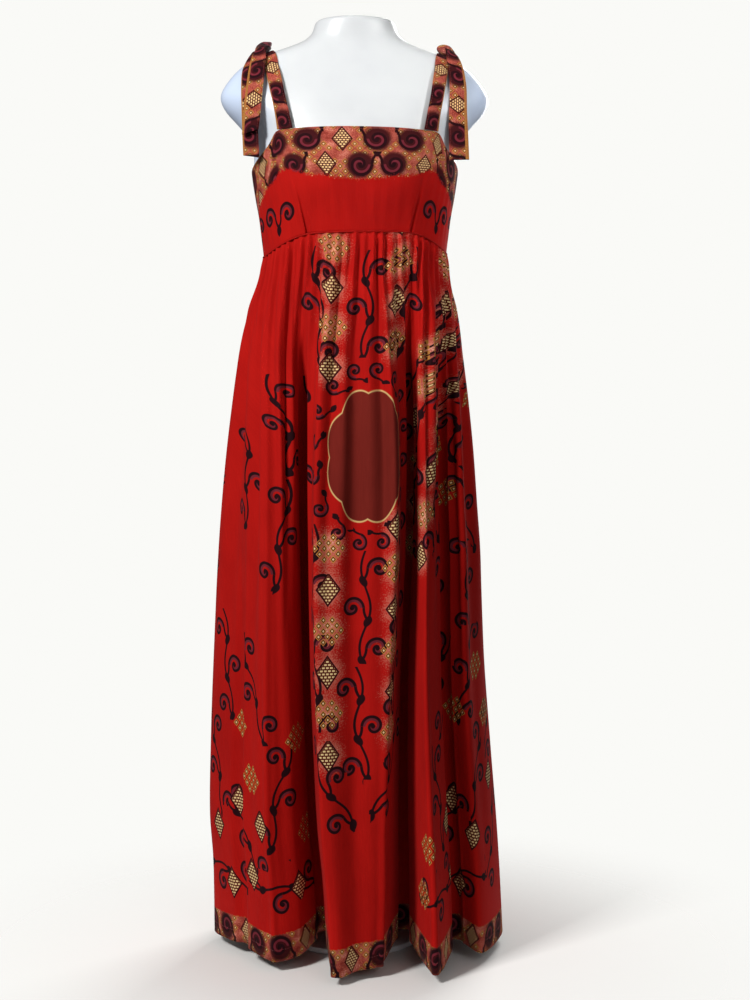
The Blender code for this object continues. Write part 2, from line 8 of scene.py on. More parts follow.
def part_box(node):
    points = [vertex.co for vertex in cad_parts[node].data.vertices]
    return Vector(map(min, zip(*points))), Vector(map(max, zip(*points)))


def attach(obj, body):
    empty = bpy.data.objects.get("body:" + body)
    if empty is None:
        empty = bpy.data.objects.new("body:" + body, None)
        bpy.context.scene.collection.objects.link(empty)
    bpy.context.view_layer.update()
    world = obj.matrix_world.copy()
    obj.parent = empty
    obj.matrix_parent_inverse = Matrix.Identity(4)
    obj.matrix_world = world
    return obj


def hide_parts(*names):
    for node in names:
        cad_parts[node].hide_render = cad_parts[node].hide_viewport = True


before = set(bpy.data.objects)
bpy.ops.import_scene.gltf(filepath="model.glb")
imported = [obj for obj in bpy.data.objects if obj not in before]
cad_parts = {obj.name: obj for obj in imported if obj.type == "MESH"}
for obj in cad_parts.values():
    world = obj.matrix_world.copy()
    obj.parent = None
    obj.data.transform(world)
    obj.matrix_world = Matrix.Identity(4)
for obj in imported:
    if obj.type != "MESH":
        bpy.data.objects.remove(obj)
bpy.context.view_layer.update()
print("frame loaded:", len(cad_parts), "nodes")


# helpers for shapes

def smoothStep(low, high, value):
    share = min(1.0, max(0.0, (value - low) / (high - low)))
    return share * share * (3.0 - 2.0 * share)


def smoothLookup(table, key):  # the columns after the first, read smoothly between the rows
    keys = [row[0] for row in table]
    key = min(keys[-1], max(keys[0], key))
    index = max(i for i in range(len(keys) - 1) if keys[i] <= key)
    span = keys[index + 1] - keys[index]
    share = (key - keys[index]) / span
    values = []
    for column in range(1, len(table[0])):
        slopes = []
        for end in (index, index + 1):
            before = max(end - 1, 0)
            after = min(end + 1, len(table) - 1)
            slopes.append((table[after][column] - table[before][column]) / (keys[after] - keys[before]))
        start = table[index][column]
        finish = table[index + 1][column]
        values.append(
            start * (1 + 2 * share) * (1 - share) ** 2
            + finish * share ** 2 * (3 - 2 * share)
            + slopes[0] * span * share * (1 - share) ** 2
            - slopes[1] * span * share ** 2 * (1 - share)
        )
    return values


def loopValue(values, place):  # smooth reading round a closed list
    count = len(values)
    index = int(place // 1)
    share = place - index
    a, b, c, d = (values[(index + step) % count] for step in (-1, 0, 1, 2))
    return 0.5 * (
        2 * b
        + (c - a) * share
        + (2 * a - 5 * b + 4 * c - d) * share ** 2
        + (3 * b - a - 3 * c + d) * share ** 3
    )


def gridObject(name, rows):  # a sheet of quads through rows of points that run round, from the top down
    columnCount = len(rows[0])
    faces = []
    for row in range(len(rows) - 1):
        for column in range(columnCount - 1):
            corner = row * columnCount + column
            faces.append((corner, corner + columnCount, corner + columnCount + 1, corner + 1))
    mesh = bpy.data.meshes.new(name)
    mesh.from_pydata([point for row in rows for point in row], [], faces)
    mesh.shade_smooth()
    sheet = bpy.data.objects.new(name, mesh)
    bpy.context.scene.collection.objects.link(sheet)
    return sheet


def giveMap(sheet, mapName, values):  # one (u, v) for each point of the sheet
    layer = sheet.data.uv_layers.new(name=mapName)
    flat = []
    for loop in sheet.data.loops:
        flat.extend(values[loop.vertex_index])
    layer.uv.foreach_set("vector", flat)


def giveFaceMap(sheet, mapName, cornerValues):  # one (u, v) for each corner of each face, in order
    layer = sheet.data.uv_layers.new(name=mapName)
    layer.uv.foreach_set("vector", [number for pair in cornerValues for number in pair])


def selectOnly(thing):
    bpy.ops.object.select_all(action="DESELECT")
    thing.select_set(True)
    bpy.context.view_layer.objects.active = thing


def applyModifier(thing, kind, **settings):
    modifier = thing.modifiers.new(kind.title(), kind)
    for name, value in settings.items():
        setattr(modifier, name, value)
    selectOnly(thing)
    bpy.ops.object.modifier_apply(modifier=modifier.name)


def finishPiece(thing, material, nodes=(), body="dress_and_form"):
    thing.data.materials.clear()
    thing.data.materials.append(material)
    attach(thing, body)
    if nodes:
        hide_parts(*nodes)


# helpers for node trees

def srgb(red, green, blue):  # 0 to 255 as a picture shows it
    linear = [((value / 255 + 0.055) / 1.055) ** 2.4 if value > 10 else value / 255 / 12.92
              for value in (red, green, blue)]
    return (*linear, 1.0)


def feed(socket, value):
    if isinstance(value, Wire):
        socket.id_data.links.new(value.socket, socket)
    else:
        socket.default_value = value


def addNode(tree, kind, inputs=(), **settings):
    node = tree.nodes.new(kind)
    for name, value in settings.items():
        setattr(node, name, value)
    for place, value in inputs:
        feed(node.inputs[place], value)
    return node


class Wire:  # a value in a node tree, on which plain arithmetic adds Math nodes
    def __init__(self, socket):
        self.socket = socket
        self.tree = socket.id_data

    def math(self, operation, *others):
        node = addNode(self.tree, "ShaderNodeMath", enumerate([self, *others]), operation=operation)
        return Wire(node.outputs[0])

    def __add__(self, other):
        return self.math("ADD", other)

    def __sub__(self, other):
        return self.math("SUBTRACT", other)

    def __mul__(self, other):
        return self.math("MULTIPLY", other)

    def __truediv__(self, other):
        return self.math("DIVIDE", other)

    def __neg__(self):
        return self.math("MULTIPLY", -1.0)

    def __abs__(self):
        return self.math("ABSOLUTE")

    def flipped(self):  # one minus the value
        return (-self) + 1.0

    def fraction(self):
        return self.math("FRACT")

    def floor(self):
        return self.math("FLOOR")

    def either(self, other):
        return self.math("MAXIMUM", other)

    def smooth(self, low, high):  # 0 below low, 1 above high; low may be above high
        node = addNode(
            self.tree, "ShaderNodeMapRange",
            [("Value", self), ("From Min", low), ("From Max", high)], interpolation_type="SMOOTHSTEP",
        )
        return Wire(node.outputs["Result"])

    def under(self, edge, softness):  # 1 well under the edge, 0 well over it
        return self.smooth(edge + softness, edge - softness)


def separate(vector):
    node = addNode(vector.tree, "ShaderNodeSeparateXYZ", [(0, vector)])
    return Wire(node.outputs[0]), Wire(node.outputs[1]), Wire(node.outputs[2])


def combine(x, y, z=0.0):
    tree = x.tree if isinstance(x, Wire) else y.tree
    return Wire(addNode(tree, "ShaderNodeCombineXYZ", [(0, x), (1, y), (2, z)]).outputs[0])


def length(x, y):
    return (x * x + y * y).math("SQRT")


def noise(vector, scale, detail=2.0, roughness=0.5):
    inputs = [("Vector", vector), ("Scale", scale), ("Detail", detail), ("Roughness", roughness)]
    return Wire(addNode(vector.tree, "ShaderNodeTexNoise", inputs).outputs[0])


def cellDraw(x, y):  # a fixed draw from 0 to 1 for each whole x and y
    node = addNode(x.tree, "ShaderNodeTexWhiteNoise", [("Vector", combine(x, y))], noise_dimensions="2D")
    return Wire(node.outputs["Value"])


def blendColour(mask, base, top):
    node = addNode(mask.tree, "ShaderNodeMix", data_type="RGBA")
    for place, value in ((0, mask), (6, base), (7, top)):
        feed(node.inputs[place], value)
    return Wire(node.outputs[2])


def newGroup(name, inputs, outputs):
    tree = bpy.data.node_groups.new(name, "ShaderNodeTree")
    for socketName, socketType in inputs:
        tree.interface.new_socket(socketName, in_out="INPUT", socket_type=f"NodeSocket{socketType}")
    for socketName, socketType in outputs:
        tree.interface.new_socket(socketName, in_out="OUTPUT", socket_type=f"NodeSocket{socketType}")
    source = tree.nodes.new("NodeGroupInput")
    sink = tree.nodes.new("NodeGroupOutput")
    return tree, [Wire(source.outputs[name]) for name, _ in inputs], sink


def useGroup(tree, group, inputs):
    node = addNode(tree, "ShaderNodeGroup", node_tree=group)
    for place, value in inputs:
        feed(node.inputs[place], value)
    return {socket.name: Wire(socket) for socket in node.outputs}


def newMaterial(name, **values):  # values are the shader's own constants
    material = bpy.data.materials.new(name)
    material.use_nodes = True
    shader = material.node_tree.nodes["Principled BSDF"]
    for place, value in values.items():
        shader.inputs[place.replace("_", " ")].default_value = value
    return material, material.node_tree, shader


def mapWire(tree, mapName):
    return Wire(addNode(tree, "ShaderNodeUVMap", uv_map=mapName).outputs[0])


def objectWire(tree):
    return Wire(addNode(tree, "ShaderNodeTexCoord").outputs["Object"])


def giveBump(shader, height, strength, distance):
    bump = addNode(shader.id_data, "ShaderNodeBump")
    bump.inputs["Strength"].default_value = strength
    bump.inputs["Distance"].default_value = distance
    feed(bump.inputs["Height"], height)
    feed(shader.inputs["Normal"], Wire(bump.outputs[0]))


# colours of the print

printColours = {
    "red": srgb(178, 20, 14),
    "deepRed": srgb(158, 14, 10),
    "salmon": srgb(186, 92, 76),
    "pink": srgb(232, 176, 150),
    "rust": srgb(118, 36, 28),
    "shade": srgb(58, 15, 18),
    "ink": srgb(34, 9, 14),
    "inlay": srgb(106, 34, 44),
    "field": srgb(84, 24, 18),
    "cream": srgb(230, 198, 140),
    "gold": srgb(184, 122, 56),
    "medallion": srgb(118, 34, 26),
    "medallionDark": srgb(96, 24, 18),
    "goldLine": srgb(206, 172, 112),
    "stripe": srgb(150, 98, 48),
    "piping": srgb(150, 20, 14),
    "thread": srgb(128, 22, 18),
}


# node groups that several materials share

def cottonGroup():  # the woven ground: slubs, threads and a slightly uneven dye
    tree, (cloth,), sink = newGroup(
        "wovenCotton", [("Cloth", "Vector")], [("Dye", "Float"), ("Height", "Float")]
    )
    u, v, _ = separate(cloth)
    slubs = noise(combine(u * 520.0, v * 30.0), 1.0, 2.0, 0.55)
    patches = noise(combine(u * 9.0, v * 5.0), 1.0, 3.0, 0.6)
    threads = (u * (tau / 0.0011)).math("SINE") * (v * (tau / 0.0011)).math("SINE")
    crinkle = noise(combine(u * 150.0, v * 18.0), 1.0, 3.0, 0.6)
    rumple = noise(combine(u * 42.0, v * 16.0), 1.0, 3.0, 0.55)
    feed(sink.inputs["Dye"], slubs * 0.25 + patches * 0.75)
    feed(sink.inputs["Height"], threads * 0.10 + slubs * 0.35 + crinkle * 0.9 + rumple * 2.4)
    return tree


def spiralMasks(spiralX, y, shape):  # a spiral's line with its eye, and the strip between its turns
    reach = length(spiralX, y)
    turn = y.math("ARCTAN2", spiralX) / tau
    steps = reach / shape["pitch"] - turn
    arm = steps.math("ROUND")
    along = arm + turn
    off = (steps - arm) * shape["pitch"]
    drawn = along.under(shape["turns"], 0.01) * along.smooth(0.10, 0.16)
    line = abs(off).under(shape["stroke"], 0.02) * drawn
    inlay = abs(off - shape["inlayAt"]).under(shape["inlayHalf"], 0.02) * drawn
    return line.either(reach.under(shape["eye"], 0.02)), inlay


def leafMask(x, y, shape):  # pointed at both ends
    up = (y - shape["leafAt"]) / shape["leafHalf"]
    side = x - (up * up).flipped() * shape["leafWide"]
    return side.under(0.0, 0.03) * abs(up).under(1.0, 0.02)


voluteShape = {
    "pitch": 0.58,      # between two turns of the spiral
    "turns": 1.5,
    "eye": 0.17,        # radius
    "centre": 1.20,     # of the spiral, from the motif's middle line
    "stemRadius": 1.20, "stemLow": -0.92, "stemFade": 0.08,
    "stroke": 0.115, "inlayAt": -0.24, "inlayHalf": 0.15,
    "leafAt": -1.05, "leafHalf": 0.46, "leafWide": 0.27,
}


def voluteGroup():  # two mirrored spirals on stems that meet in a leaf, or one of them alone
    tree, (local, single), sink = newGroup(
        "voluteScroll", [("Local", "Vector"), ("Single", "Float")], [("Stroke", "Float"), ("Inlay", "Float")]
    )
    shape = voluteShape
    acrossBoth, y, _ = separate(local)
    x = abs(acrossBoth)
    spiral, inlay = spiralMasks(x - shape["centre"], y, shape)
    stemX = shape["centre"] - shape["pitch"] * shape["turns"] - shape["stemRadius"]
    stem = abs(length(x - stemX, y) - shape["stemRadius"]).under(shape["stroke"] * 0.9, 0.02)
    stem = stem * y.under(0.01, 0.01) * y.smooth(shape["stemLow"], shape["stemLow"] + shape["stemFade"])
    shown = (single * acrossBoth.under(0.0, 0.01)).flipped()
    feed(sink.inputs["Stroke"], (spiral.either(stem) * shown).either(leafMask(x, y, shape)))
    feed(sink.inputs["Inlay"], inlay * shown)
    return tree


vineShape = {
    "step": 2.60,       # between two spirals up the stem
    "swing": 0.35,      # of the stem to each side
    "cells": 3,         # of one spiral each
    "centre": 0.86, "pitch": 0.50, "turns": 1.5, "eye": 0.15,
    "stroke": 0.095, "inlayAt": -0.21, "inlayHalf": 0.14,
    "branchRadius": 1.2, "branchLow": -0.74, "branchFade": 0.04,
    "leafAt": -0.86, "leafHalf": 0.43, "leafWide": 0.28,
}


def vineGroup():  # a running scroll: a waving stem with a spiral to the left and to the right in turn
    tree, (local,), sink = newGroup(
        "runningScroll", [("Local", "Vector")], [("Stroke", "Float"), ("Inlay", "Float")]
    )
    shape = vineShape
    x, y, _ = separate(local)
    cell = (y / shape["step"]).math("ROUND")
    up = y - cell * shape["step"]
    side = ((cell * 0.5).fraction() * 4.0) - 1.0
    across = x * side
    spiral, inlay = spiralMasks(across - shape["centre"], up, shape)
    branchX = shape["centre"] - shape["pitch"] * shape["turns"] - shape["branchRadius"]
    branch = abs(length(across - branchX, up) - shape["branchRadius"]).under(shape["stroke"], 0.02)
    branchEnd = up.smooth(shape["branchLow"] - shape["branchFade"], shape["branchLow"])
    branch = branch * up.under(0.01, 0.01) * branchEnd
    stemX = (up * (pi / shape["step"])).math("COSINE") * -shape["swing"]
    fromStem = abs(across - stemX)
    ends = abs(y).under(shape["step"] * shape["cells"] / 2, 0.01)
    stem = fromStem.under(shape["stroke"] * 0.9, 0.02) * ends
    leaf = leafMask(fromStem, up, shape) * ends
    feed(sink.inputs["Stroke"], spiral.either(branch).either(stem).either(leaf))
    feed(sink.inputs["Inlay"], inlay)
    return tree


lozengeShape = {
    "halfWide": 0.72, "rowPitch": 0.185, "dashPitch": 0.25,
    "dashLong": 0.33, "dashHigh": 0.27,  # half sizes, as shares of their pitches
    "filledTo": 0.86,
}


def lozengeGroup():  # a lozenge filled with rows of short dashes
    tree, (local,), sink = newGroup(
        "dottedLozenge", [("Local", "Vector")], [("Field", "Float"), ("Dots", "Float"), ("Line", "Float")]
    )
    shape = lozengeShape
    x, y, _ = separate(local)
    ring = abs(x) / shape["halfWide"] + abs(y)
    row = y / shape["rowPitch"]
    shifted = x / shape["dashPitch"] + (row.floor() * 0.5).fraction()
    across = abs(shifted.fraction() - 0.5)
    up = abs(row.fraction() - 0.5)
    dash = across.under(shape["dashLong"], 0.04) * up.under(shape["dashHigh"], 0.05)
    dots = dash * ring.under(shape["filledTo"], 0.02)
    feed(sink.inputs["Field"], ring.under(1.0, 0.02))
    feed(sink.inputs["Dots"], dots)
    feed(sink.inputs["Line"], abs(ring - 1.0).under(0.055, 0.02))
    return tree


clusterShape = {"pitch": 0.62, "slope": 1.2, "reach": 0.86, "line": 0.31, "fill": 0.36, "dot": 0.12}


def clusterGroup():  # a heap of small open lozenges, apart from each other
    tree, (local,), sink = newGroup(
        "openLozenges", [("Local", "Vector")], [("Line", "Float"), ("Fill", "Float"), ("Dots", "Float")]
    )
    shape = clusterShape
    x, y, _ = separate(local)
    column = (x * shape["slope"] + y) / shape["pitch"]
    row = (y - x * shape["slope"]) / shape["pitch"]
    edge = abs(column.fraction() - 0.5).either(abs(row.fraction() - 0.5))
    middleX = (column.floor() - row.floor()) * (shape["pitch"] / 2 / shape["slope"])
    middleY = (column.floor() + row.floor() + 1.0) * (shape["pitch"] / 2)
    kept = length(middleX, middleY).under(shape["reach"], 0.01)
    feed(sink.inputs["Line"], abs(edge - shape["line"]).under(0.055, 0.02) * kept)
    feed(sink.inputs["Fill"], edge.under(shape["fill"], 0.02) * kept)
    feed(sink.inputs["Dots"], edge.under(shape["dot"], 0.03) * kept)
    return tree


bandShape = {
    "pitch": 0.046, "rowPitch": 0.0385, "figure": 0.0185, "lattice": 0.0135,
    "latticeGaps": 0.40,  # share of the small lozenges that is left out
    "shadeReach": 1.02,   # of the dark round a spiral
}


def layLozenge(lozenge, mask, ground):
    colour = blendColour(lozenge["Field"] * mask, ground, printColours["field"])
    colour = blendColour(lozenge["Dots"] * mask, colour, printColours["cream"])
    return blendColour(lozenge["Line"] * mask, colour, printColours["ink"])


def bandGroup(groups):  # the figured border: a mottled ground with spirals and dotted lozenges in turn
    tree, (along,), sink = newGroup("figuredBand", [("Along", "Vector")], [("Colour", "Color")])
    colours = printColours
    u, v, _ = separate(along)
    speckle = noise(along, 900.0, 2.0, 0.7)
    cloud = noise(along, 60.0, 2.0, 0.5)
    ground = blendColour((speckle * 0.7 + cloud * 0.3).smooth(0.43, 0.57), colours["rust"], colours["salmon"])
    ground = blendColour((speckle * 0.6 + cloud * 0.4).smooth(0.56, 0.66), ground, colours["pink"])

    side = bandShape["lattice"]
    a = abs(((u + v) / side).fraction() - 0.5)
    b = abs(((v - u) / side).fraction() - 0.5)
    cell = cellDraw(((u + v) / side).floor(), ((v - u) / side).floor())
    edge = a.either(b)
    kept = cell.smooth(bandShape["latticeGaps"], bandShape["latticeGaps"] + 0.01)
    ground = blendColour(edge.under(0.38, 0.02) * kept, ground, colours["field"])
    ground = blendColour(abs(edge - 0.30).under(0.06, 0.02) * kept, ground, colours["gold"])
    ground = blendColour(edge.under(0.11, 0.03) * kept, ground, colours["cream"])

    row = v / bandShape["rowPitch"]
    column = u / bandShape["pitch"] + row.floor() * 0.5
    kind = ((column.floor() / 3.0).fraction() * 3.0).smooth(1.5, 1.6)
    localX = (column.fraction() - 0.5) * bandShape["pitch"]
    localY = (row.fraction() - 0.5) * bandShape["rowPitch"]
    flip = (cellDraw(column.floor(), row.floor()).smooth(0.49, 0.51) - 0.5) * 2.0
    figure = bandShape["figure"]
    fromStem = localX * flip / figure + voluteShape["centre"]
    volute = useGroup(tree, groups["volute"], [(0, combine(fromStem, localY / figure)), (1, 1.0)])
    lozenge = useGroup(tree, groups["lozenge"], [(0, combine(localX / figure, localY / figure))])
    isVolute = kind.under(0.5, 0.01)
    isLozenge = isVolute.flipped()
    around = length(localX, localY) / figure
    colour = blendColour(around.under(bandShape["shadeReach"], 0.22) * isVolute, ground, colours["shade"])
    colour = blendColour(volute["Inlay"] * isVolute, colour, colours["inlay"])
    colour = blendColour(volute["Stroke"] * isVolute, colour, colours["ink"])
    colour = layLozenge(lozenge, isLozenge, colour)
    feed(sink.inputs["Colour"], colour)
    return tree


def redGround(tree, cotton):  # the plain dyed red
    return blendColour(cotton["Dye"].smooth(0.30, 0.70), printColours["deepRed"], printColours["red"])


motifStep = 20.0  # how far apart the kinds of motif lie in the motif map
motifLayers = {"figures": ("lozenge", "cluster"), "scrolls": ("pair", "single", "vine")}


def layerMasks(tree, layer):  # the coordinates inside a layer's motif, and a mask for each of its kinds
    x, y, _ = separate(mapWire(tree, layer))
    kind = (x / motifStep).math("ROUND")
    masks = {}
    for number, name in enumerate(motifLayers[layer]):
        masks[name] = abs(kind - float(number)).under(0.5, 0.01)
    return combine(x - kind * motifStep, y), masks


def printMotifs(tree, ground, groups):  # lays the placed scrolls, then the figures, over a ground
    colours = printColours
    local, masks = layerMasks(tree, "scrolls")
    volute = useGroup(tree, groups["volute"], [(0, local), (1, masks["single"])])
    vine = useGroup(tree, groups["vine"], [(0, local)])
    isVolute = masks["pair"].either(masks["single"])
    inlay = (volute["Inlay"] * isVolute).either(vine["Inlay"] * masks["vine"])
    stroke = (volute["Stroke"] * isVolute).either(vine["Stroke"] * masks["vine"])
    colour = blendColour(inlay, ground, colours["inlay"])
    colour = blendColour(stroke, colour, colours["ink"])

    local, masks = layerMasks(tree, "figures")
    lozenge = useGroup(tree, groups["lozenge"], [(0, local)])
    cluster = useGroup(tree, groups["cluster"], [(0, local)])
    colour = layLozenge(lozenge, masks["lozenge"], colour)
    colour = blendColour(cluster["Fill"] * masks["cluster"], colour, colours["field"])
    colour = blendColour(cluster["Line"] * masks["cluster"], colour, colours["gold"])
    return blendColour(cluster["Dots"] * masks["cluster"], colour, colours["cream"])


medallionShape = {
    "middle": 0.006, "height": 0.700, "halfWide": 0.060, "halfHigh": 0.096,
    "lobes": 8, "lobeDepth": 0.085, "rim": 0.90, "line": 0.011,
}


def printMedallion(tree, ground, cloth, cotton):  # a plain lobed field with a gold line round it
    shape = medallionShape
    u, v, _ = separate(cloth)
    x = (u - shape["middle"]) / shape["halfWide"]
    y = (v - shape["height"]) / shape["halfHigh"]
    turn = y.math("ARCTAN2", x)
    lobe = abs((turn * (shape["lobes"] / 2)).math("SINE")) * shape["lobeDepth"]
    ring = length(x, y) - lobe
    inside = ring.under(shape["rim"], 0.008)
    line = abs(ring - shape["rim"]).under(shape["line"], 0.01)
    dye = cotton["Dye"].smooth(0.2, 0.8)
    field = blendColour(dye, printColours["medallionDark"], printColours["medallion"])
    colour = blendColour(inside, ground, field)
    return blendColour(line, colour, printColours["goldLine"])


def printHalos(tree, ground, cloth):  # the speckled pale clouds behind the figures
    halo = Wire(addNode(tree, "ShaderNodeAttribute", attribute_name="halo").outputs["Fac"])
    speckle = noise(cloth, 430.0, 2.0, 0.8)
    cloud = noise(cloth, 45.0, 2.0, 0.5)
    amount = halo + (cloud - 0.5) * 0.8 * halo + (speckle - 0.5) * 1.5 * halo.smooth(0.02, 0.30)
    colour = blendColour(amount.smooth(0.34, 0.80), ground, printColours["salmon"])
    return blendColour(amount.smooth(0.85, 1.30), colour, printColours["pink"])


# the shader's own values on the cotton
cottonFinish = {"Roughness": 0.86, "Sheen_Weight": 0.015, "Sheen_Roughness": 0.4, "Specular_IOR_Level": 0.07}
knotFinish = {"Roughness": 0.84, "Sheen_Weight": 0.015, "Sheen_Roughness": 0.4}
tieFinish = {**knotFinish, "Specular_IOR_Level": 0.07}
clothRelief = 0.0006  # bump distance
hemBand = 0.040       # height of the figured border above the hem


def clothBump(shader, cotton):
    giveBump(shader, cotton["Height"], 0.55, clothRelief)


def skirtMaterial(groups, hasMedallion):
    name = "printedCottonFront" if hasMedallion else "printedCottonBack"
    material, tree, shader = newMaterial(name, **cottonFinish)
    cloth = mapWire(tree, "cloth")
    cotton = useGroup(tree, groups["cotton"], [(0, cloth)])
    colour = printHalos(tree, redGround(tree, cotton), cloth)
    colour = printMotifs(tree, colour, groups)
    if hasMedallion:
        colour = printMedallion(tree, colour, cloth, cotton)
    _, v, _ = separate(cloth)
    band = useGroup(tree, groups["band"], [(0, cloth)])
    rag = noise(cloth, 300.0, 2.0, 0.6) * 0.006
    colour = blendColour((v + rag).under(hemBand, 0.0008), colour, band["Colour"])
    feed(shader.inputs["Base Color"], colour)
    clothBump(shader, cotton)
    return material


def bodiceMaterial(groups):
    material, tree, shader = newMaterial("printedCottonBodice", **cottonFinish)
    cloth = mapWire(tree, "cloth")
    edge = mapWire(tree, "edge")
    cotton = useGroup(tree, groups["cotton"], [(0, cloth)])
    colour = printMotifs(tree, redGround(tree, cotton), groups)
    _, depth, _ = separate(edge)
    bandWidth = Wire(addNode(tree, "ShaderNodeAttribute", attribute_name="bandWidth").outputs["Fac"])
    band = useGroup(tree, groups["band"], [(0, edge)])
    speckle = (noise(cloth, 460.0, 2.0, 0.8) - 0.5) * 0.022
    colour = blendColour((depth + speckle - bandWidth).under(0.0, 0.0016), colour, band["Colour"])
    feed(shader.inputs["Base Color"], colour)
    clothBump(shader, cotton)
    return material


def tieMaterial(groups):
    material, tree, shader = newMaterial("printedCottonTies", **tieFinish)
    cloth = mapWire(tree, "cloth")
    along, across, _ = separate(cloth)
    cotton = useGroup(tree, groups["cotton"], [(0, cloth)])
    band = useGroup(tree, groups["band"], [(0, cloth)])
    stripe = (across - bandShape["rowPitch"] / 2).smooth(0.0088, 0.0096)
    rib = ((along * (tau / 0.0022)).math("SINE") * 0.5 + 0.5) * stripe
    colour = blendColour(stripe, band["Colour"], printColours["stripe"])
    colour = blendColour(rib.smooth(0.5, 0.9), colour, printColours["gold"])
    feed(shader.inputs["Base Color"], colour)
    giveBump(shader, cotton["Height"] + rib, 0.6, clothRelief)
    return material


def knotMaterial(groups):
    material, tree, shader = newMaterial("printedCottonKnots", **knotFinish)
    x, y, z = separate(objectWire(tree))
    cloth = combine(y + z * 0.4, z + x * 0.5)
    cotton = useGroup(tree, groups["cotton"], [(0, cloth)])
    band = useGroup(tree, groups["band"], [(0, cloth)])
    feed(shader.inputs["Base Color"], band["Colour"])
    giveBump(shader, cotton["Height"], 0.6, clothRelief)
    return material


def pipingMaterial(groups):
    material, tree, shader = newMaterial("pipingCotton", **cottonFinish)
    x, y, z = separate(objectWire(tree))
    cotton = useGroup(tree, groups["cotton"], [(0, combine(x + y, z))])
    colour = blendColour(cotton["Dye"], printColours["deepRed"], printColours["piping"])
    feed(shader.inputs["Base Color"], colour)
    clothBump(shader, cotton)
    return material


def threadMaterial(name, colour):
    material, tree, shader = newMaterial(name, Roughness=0.7, Sheen_Weight=0.2)
    place = objectWire(tree)
    twist = noise(place, 2600.0, 1.0, 0.5)
    dark = tuple(value * 0.6 for value in colour[:3]) + (1.0,)
    feed(shader.inputs["Base Color"], blendColour(twist.smooth(0.35, 0.65), dark, colour))
    giveBump(shader, twist, 0.5, 0.0002)
    return material


def plasticMaterial():
    material, tree, shader = newMaterial("formPlastic", Roughness=0.34, Coat_Weight=0.15, Coat_Roughness=0.25)
    place = objectWire(tree)  # paler in the middle, with a cool painted shade at the shoulder ends
    haze = noise(place, 7.0, 3.0, 0.6)
    scuffs = noise(place, 55.0, 4.0, 0.7)
    x, _, _ = separate(place)
    # painted shade: the shoulder ends are tinted cooler to stand in for the shade that falls on them
    ends = abs(x).smooth(0.10, 0.17)
    pale = blendColour(haze.smooth(0.3, 0.7), srgb(202, 204, 205), srgb(210, 212, 212))
    coolPaintedShade = blendColour(haze.smooth(0.3, 0.7), srgb(190, 204, 226), srgb(202, 214, 232))
    colour = blendColour(ends, pale, coolPaintedShade)
    colour = blendColour(scuffs.smooth(0.66, 0.74) * 0.4, colour, srgb(190, 201, 214))
    feed(shader.inputs["Base Color"], colour)
    feed(shader.inputs["Roughness"], haze * 0.14 + scuffs * 0.10 + 0.22)
    giveBump(shader, scuffs * 0.3 + noise(place, 420.0) * 0.2, 0.12, 0.0005)
    return material


def enamelMaterial():
    material, tree, shader = newMaterial("standEnamel", Roughness=0.4, Coat_Weight=0.3, Coat_Roughness=0.2)
    place = objectWire(tree)
    peel = noise(place, 260.0, 2.0, 0.5)
    wear = noise(place, 38.0, 4.0, 0.7)
    colour = blendColour(noise(place, 9.0).smooth(0.3, 0.7), srgb(226, 227, 228), srgb(214, 216, 219))
    feed(shader.inputs["Base Color"], blendColour(wear.smooth(0.70, 0.78), colour, srgb(150, 152, 156)))
    feed(shader.inputs["Roughness"], wear * 0.25 + 0.25)
    giveBump(shader, peel, 0.15, 0.0004)
    return material


def zipMaterial():
    material, tree, shader = newMaterial("zipMetal", Roughness=0.35, Metallic=0.55)
    place = objectWire(tree)
    wear = noise(place, 900.0, 3.0, 0.6)
    colour = blendColour(wear.smooth(0.45, 0.72), srgb(120, 22, 20), srgb(150, 60, 52))
    feed(shader.inputs["Base Color"], colour)
    feed(shader.inputs["Roughness"], wear * 0.3 + 0.25)
    giveBump(shader, wear, 0.2, 0.0001)
    return material


def floorMaterial():  # fades out round the object, so the floor ends in the background
    material, tree, shader = newMaterial("paleFloor", Roughness=0.9)
    place = objectWire(tree)
    x, y, _ = separate(place)
    grain = noise(place, 3.0, 3.0, 0.5)
    feed(shader.inputs["Base Color"], blendColour(grain, srgb(236, 234, 230), srgb(241, 239, 235)))
    feed(shader.inputs["Alpha"], length(x, y).smooth(0.75, 0.12))
    return material


# the dress's own measures, from the frame

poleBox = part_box("stand_pole")
standY = 0.020  # of the pole, in the dress's own frame
dressOffset = Vector((
    (poleBox[0][0] + poleBox[1][0]) / 2,
    (poleBox[0][1] + poleBox[1][1]) / 2 - standY,
    0.0,
))
clothThick = 0.0012
tieThick = 0.0016
seamGap = 0.0003

# the lines that the stitches follow, filled in as each piece is made
stitchLines = {"neckStitches": [], "hemStitches": [], "tieStitches": []}


def placed(rows):  # from the dress's own frame to the shared one
    return [[point + dressOffset for point in row] for row in rows]


# bodice

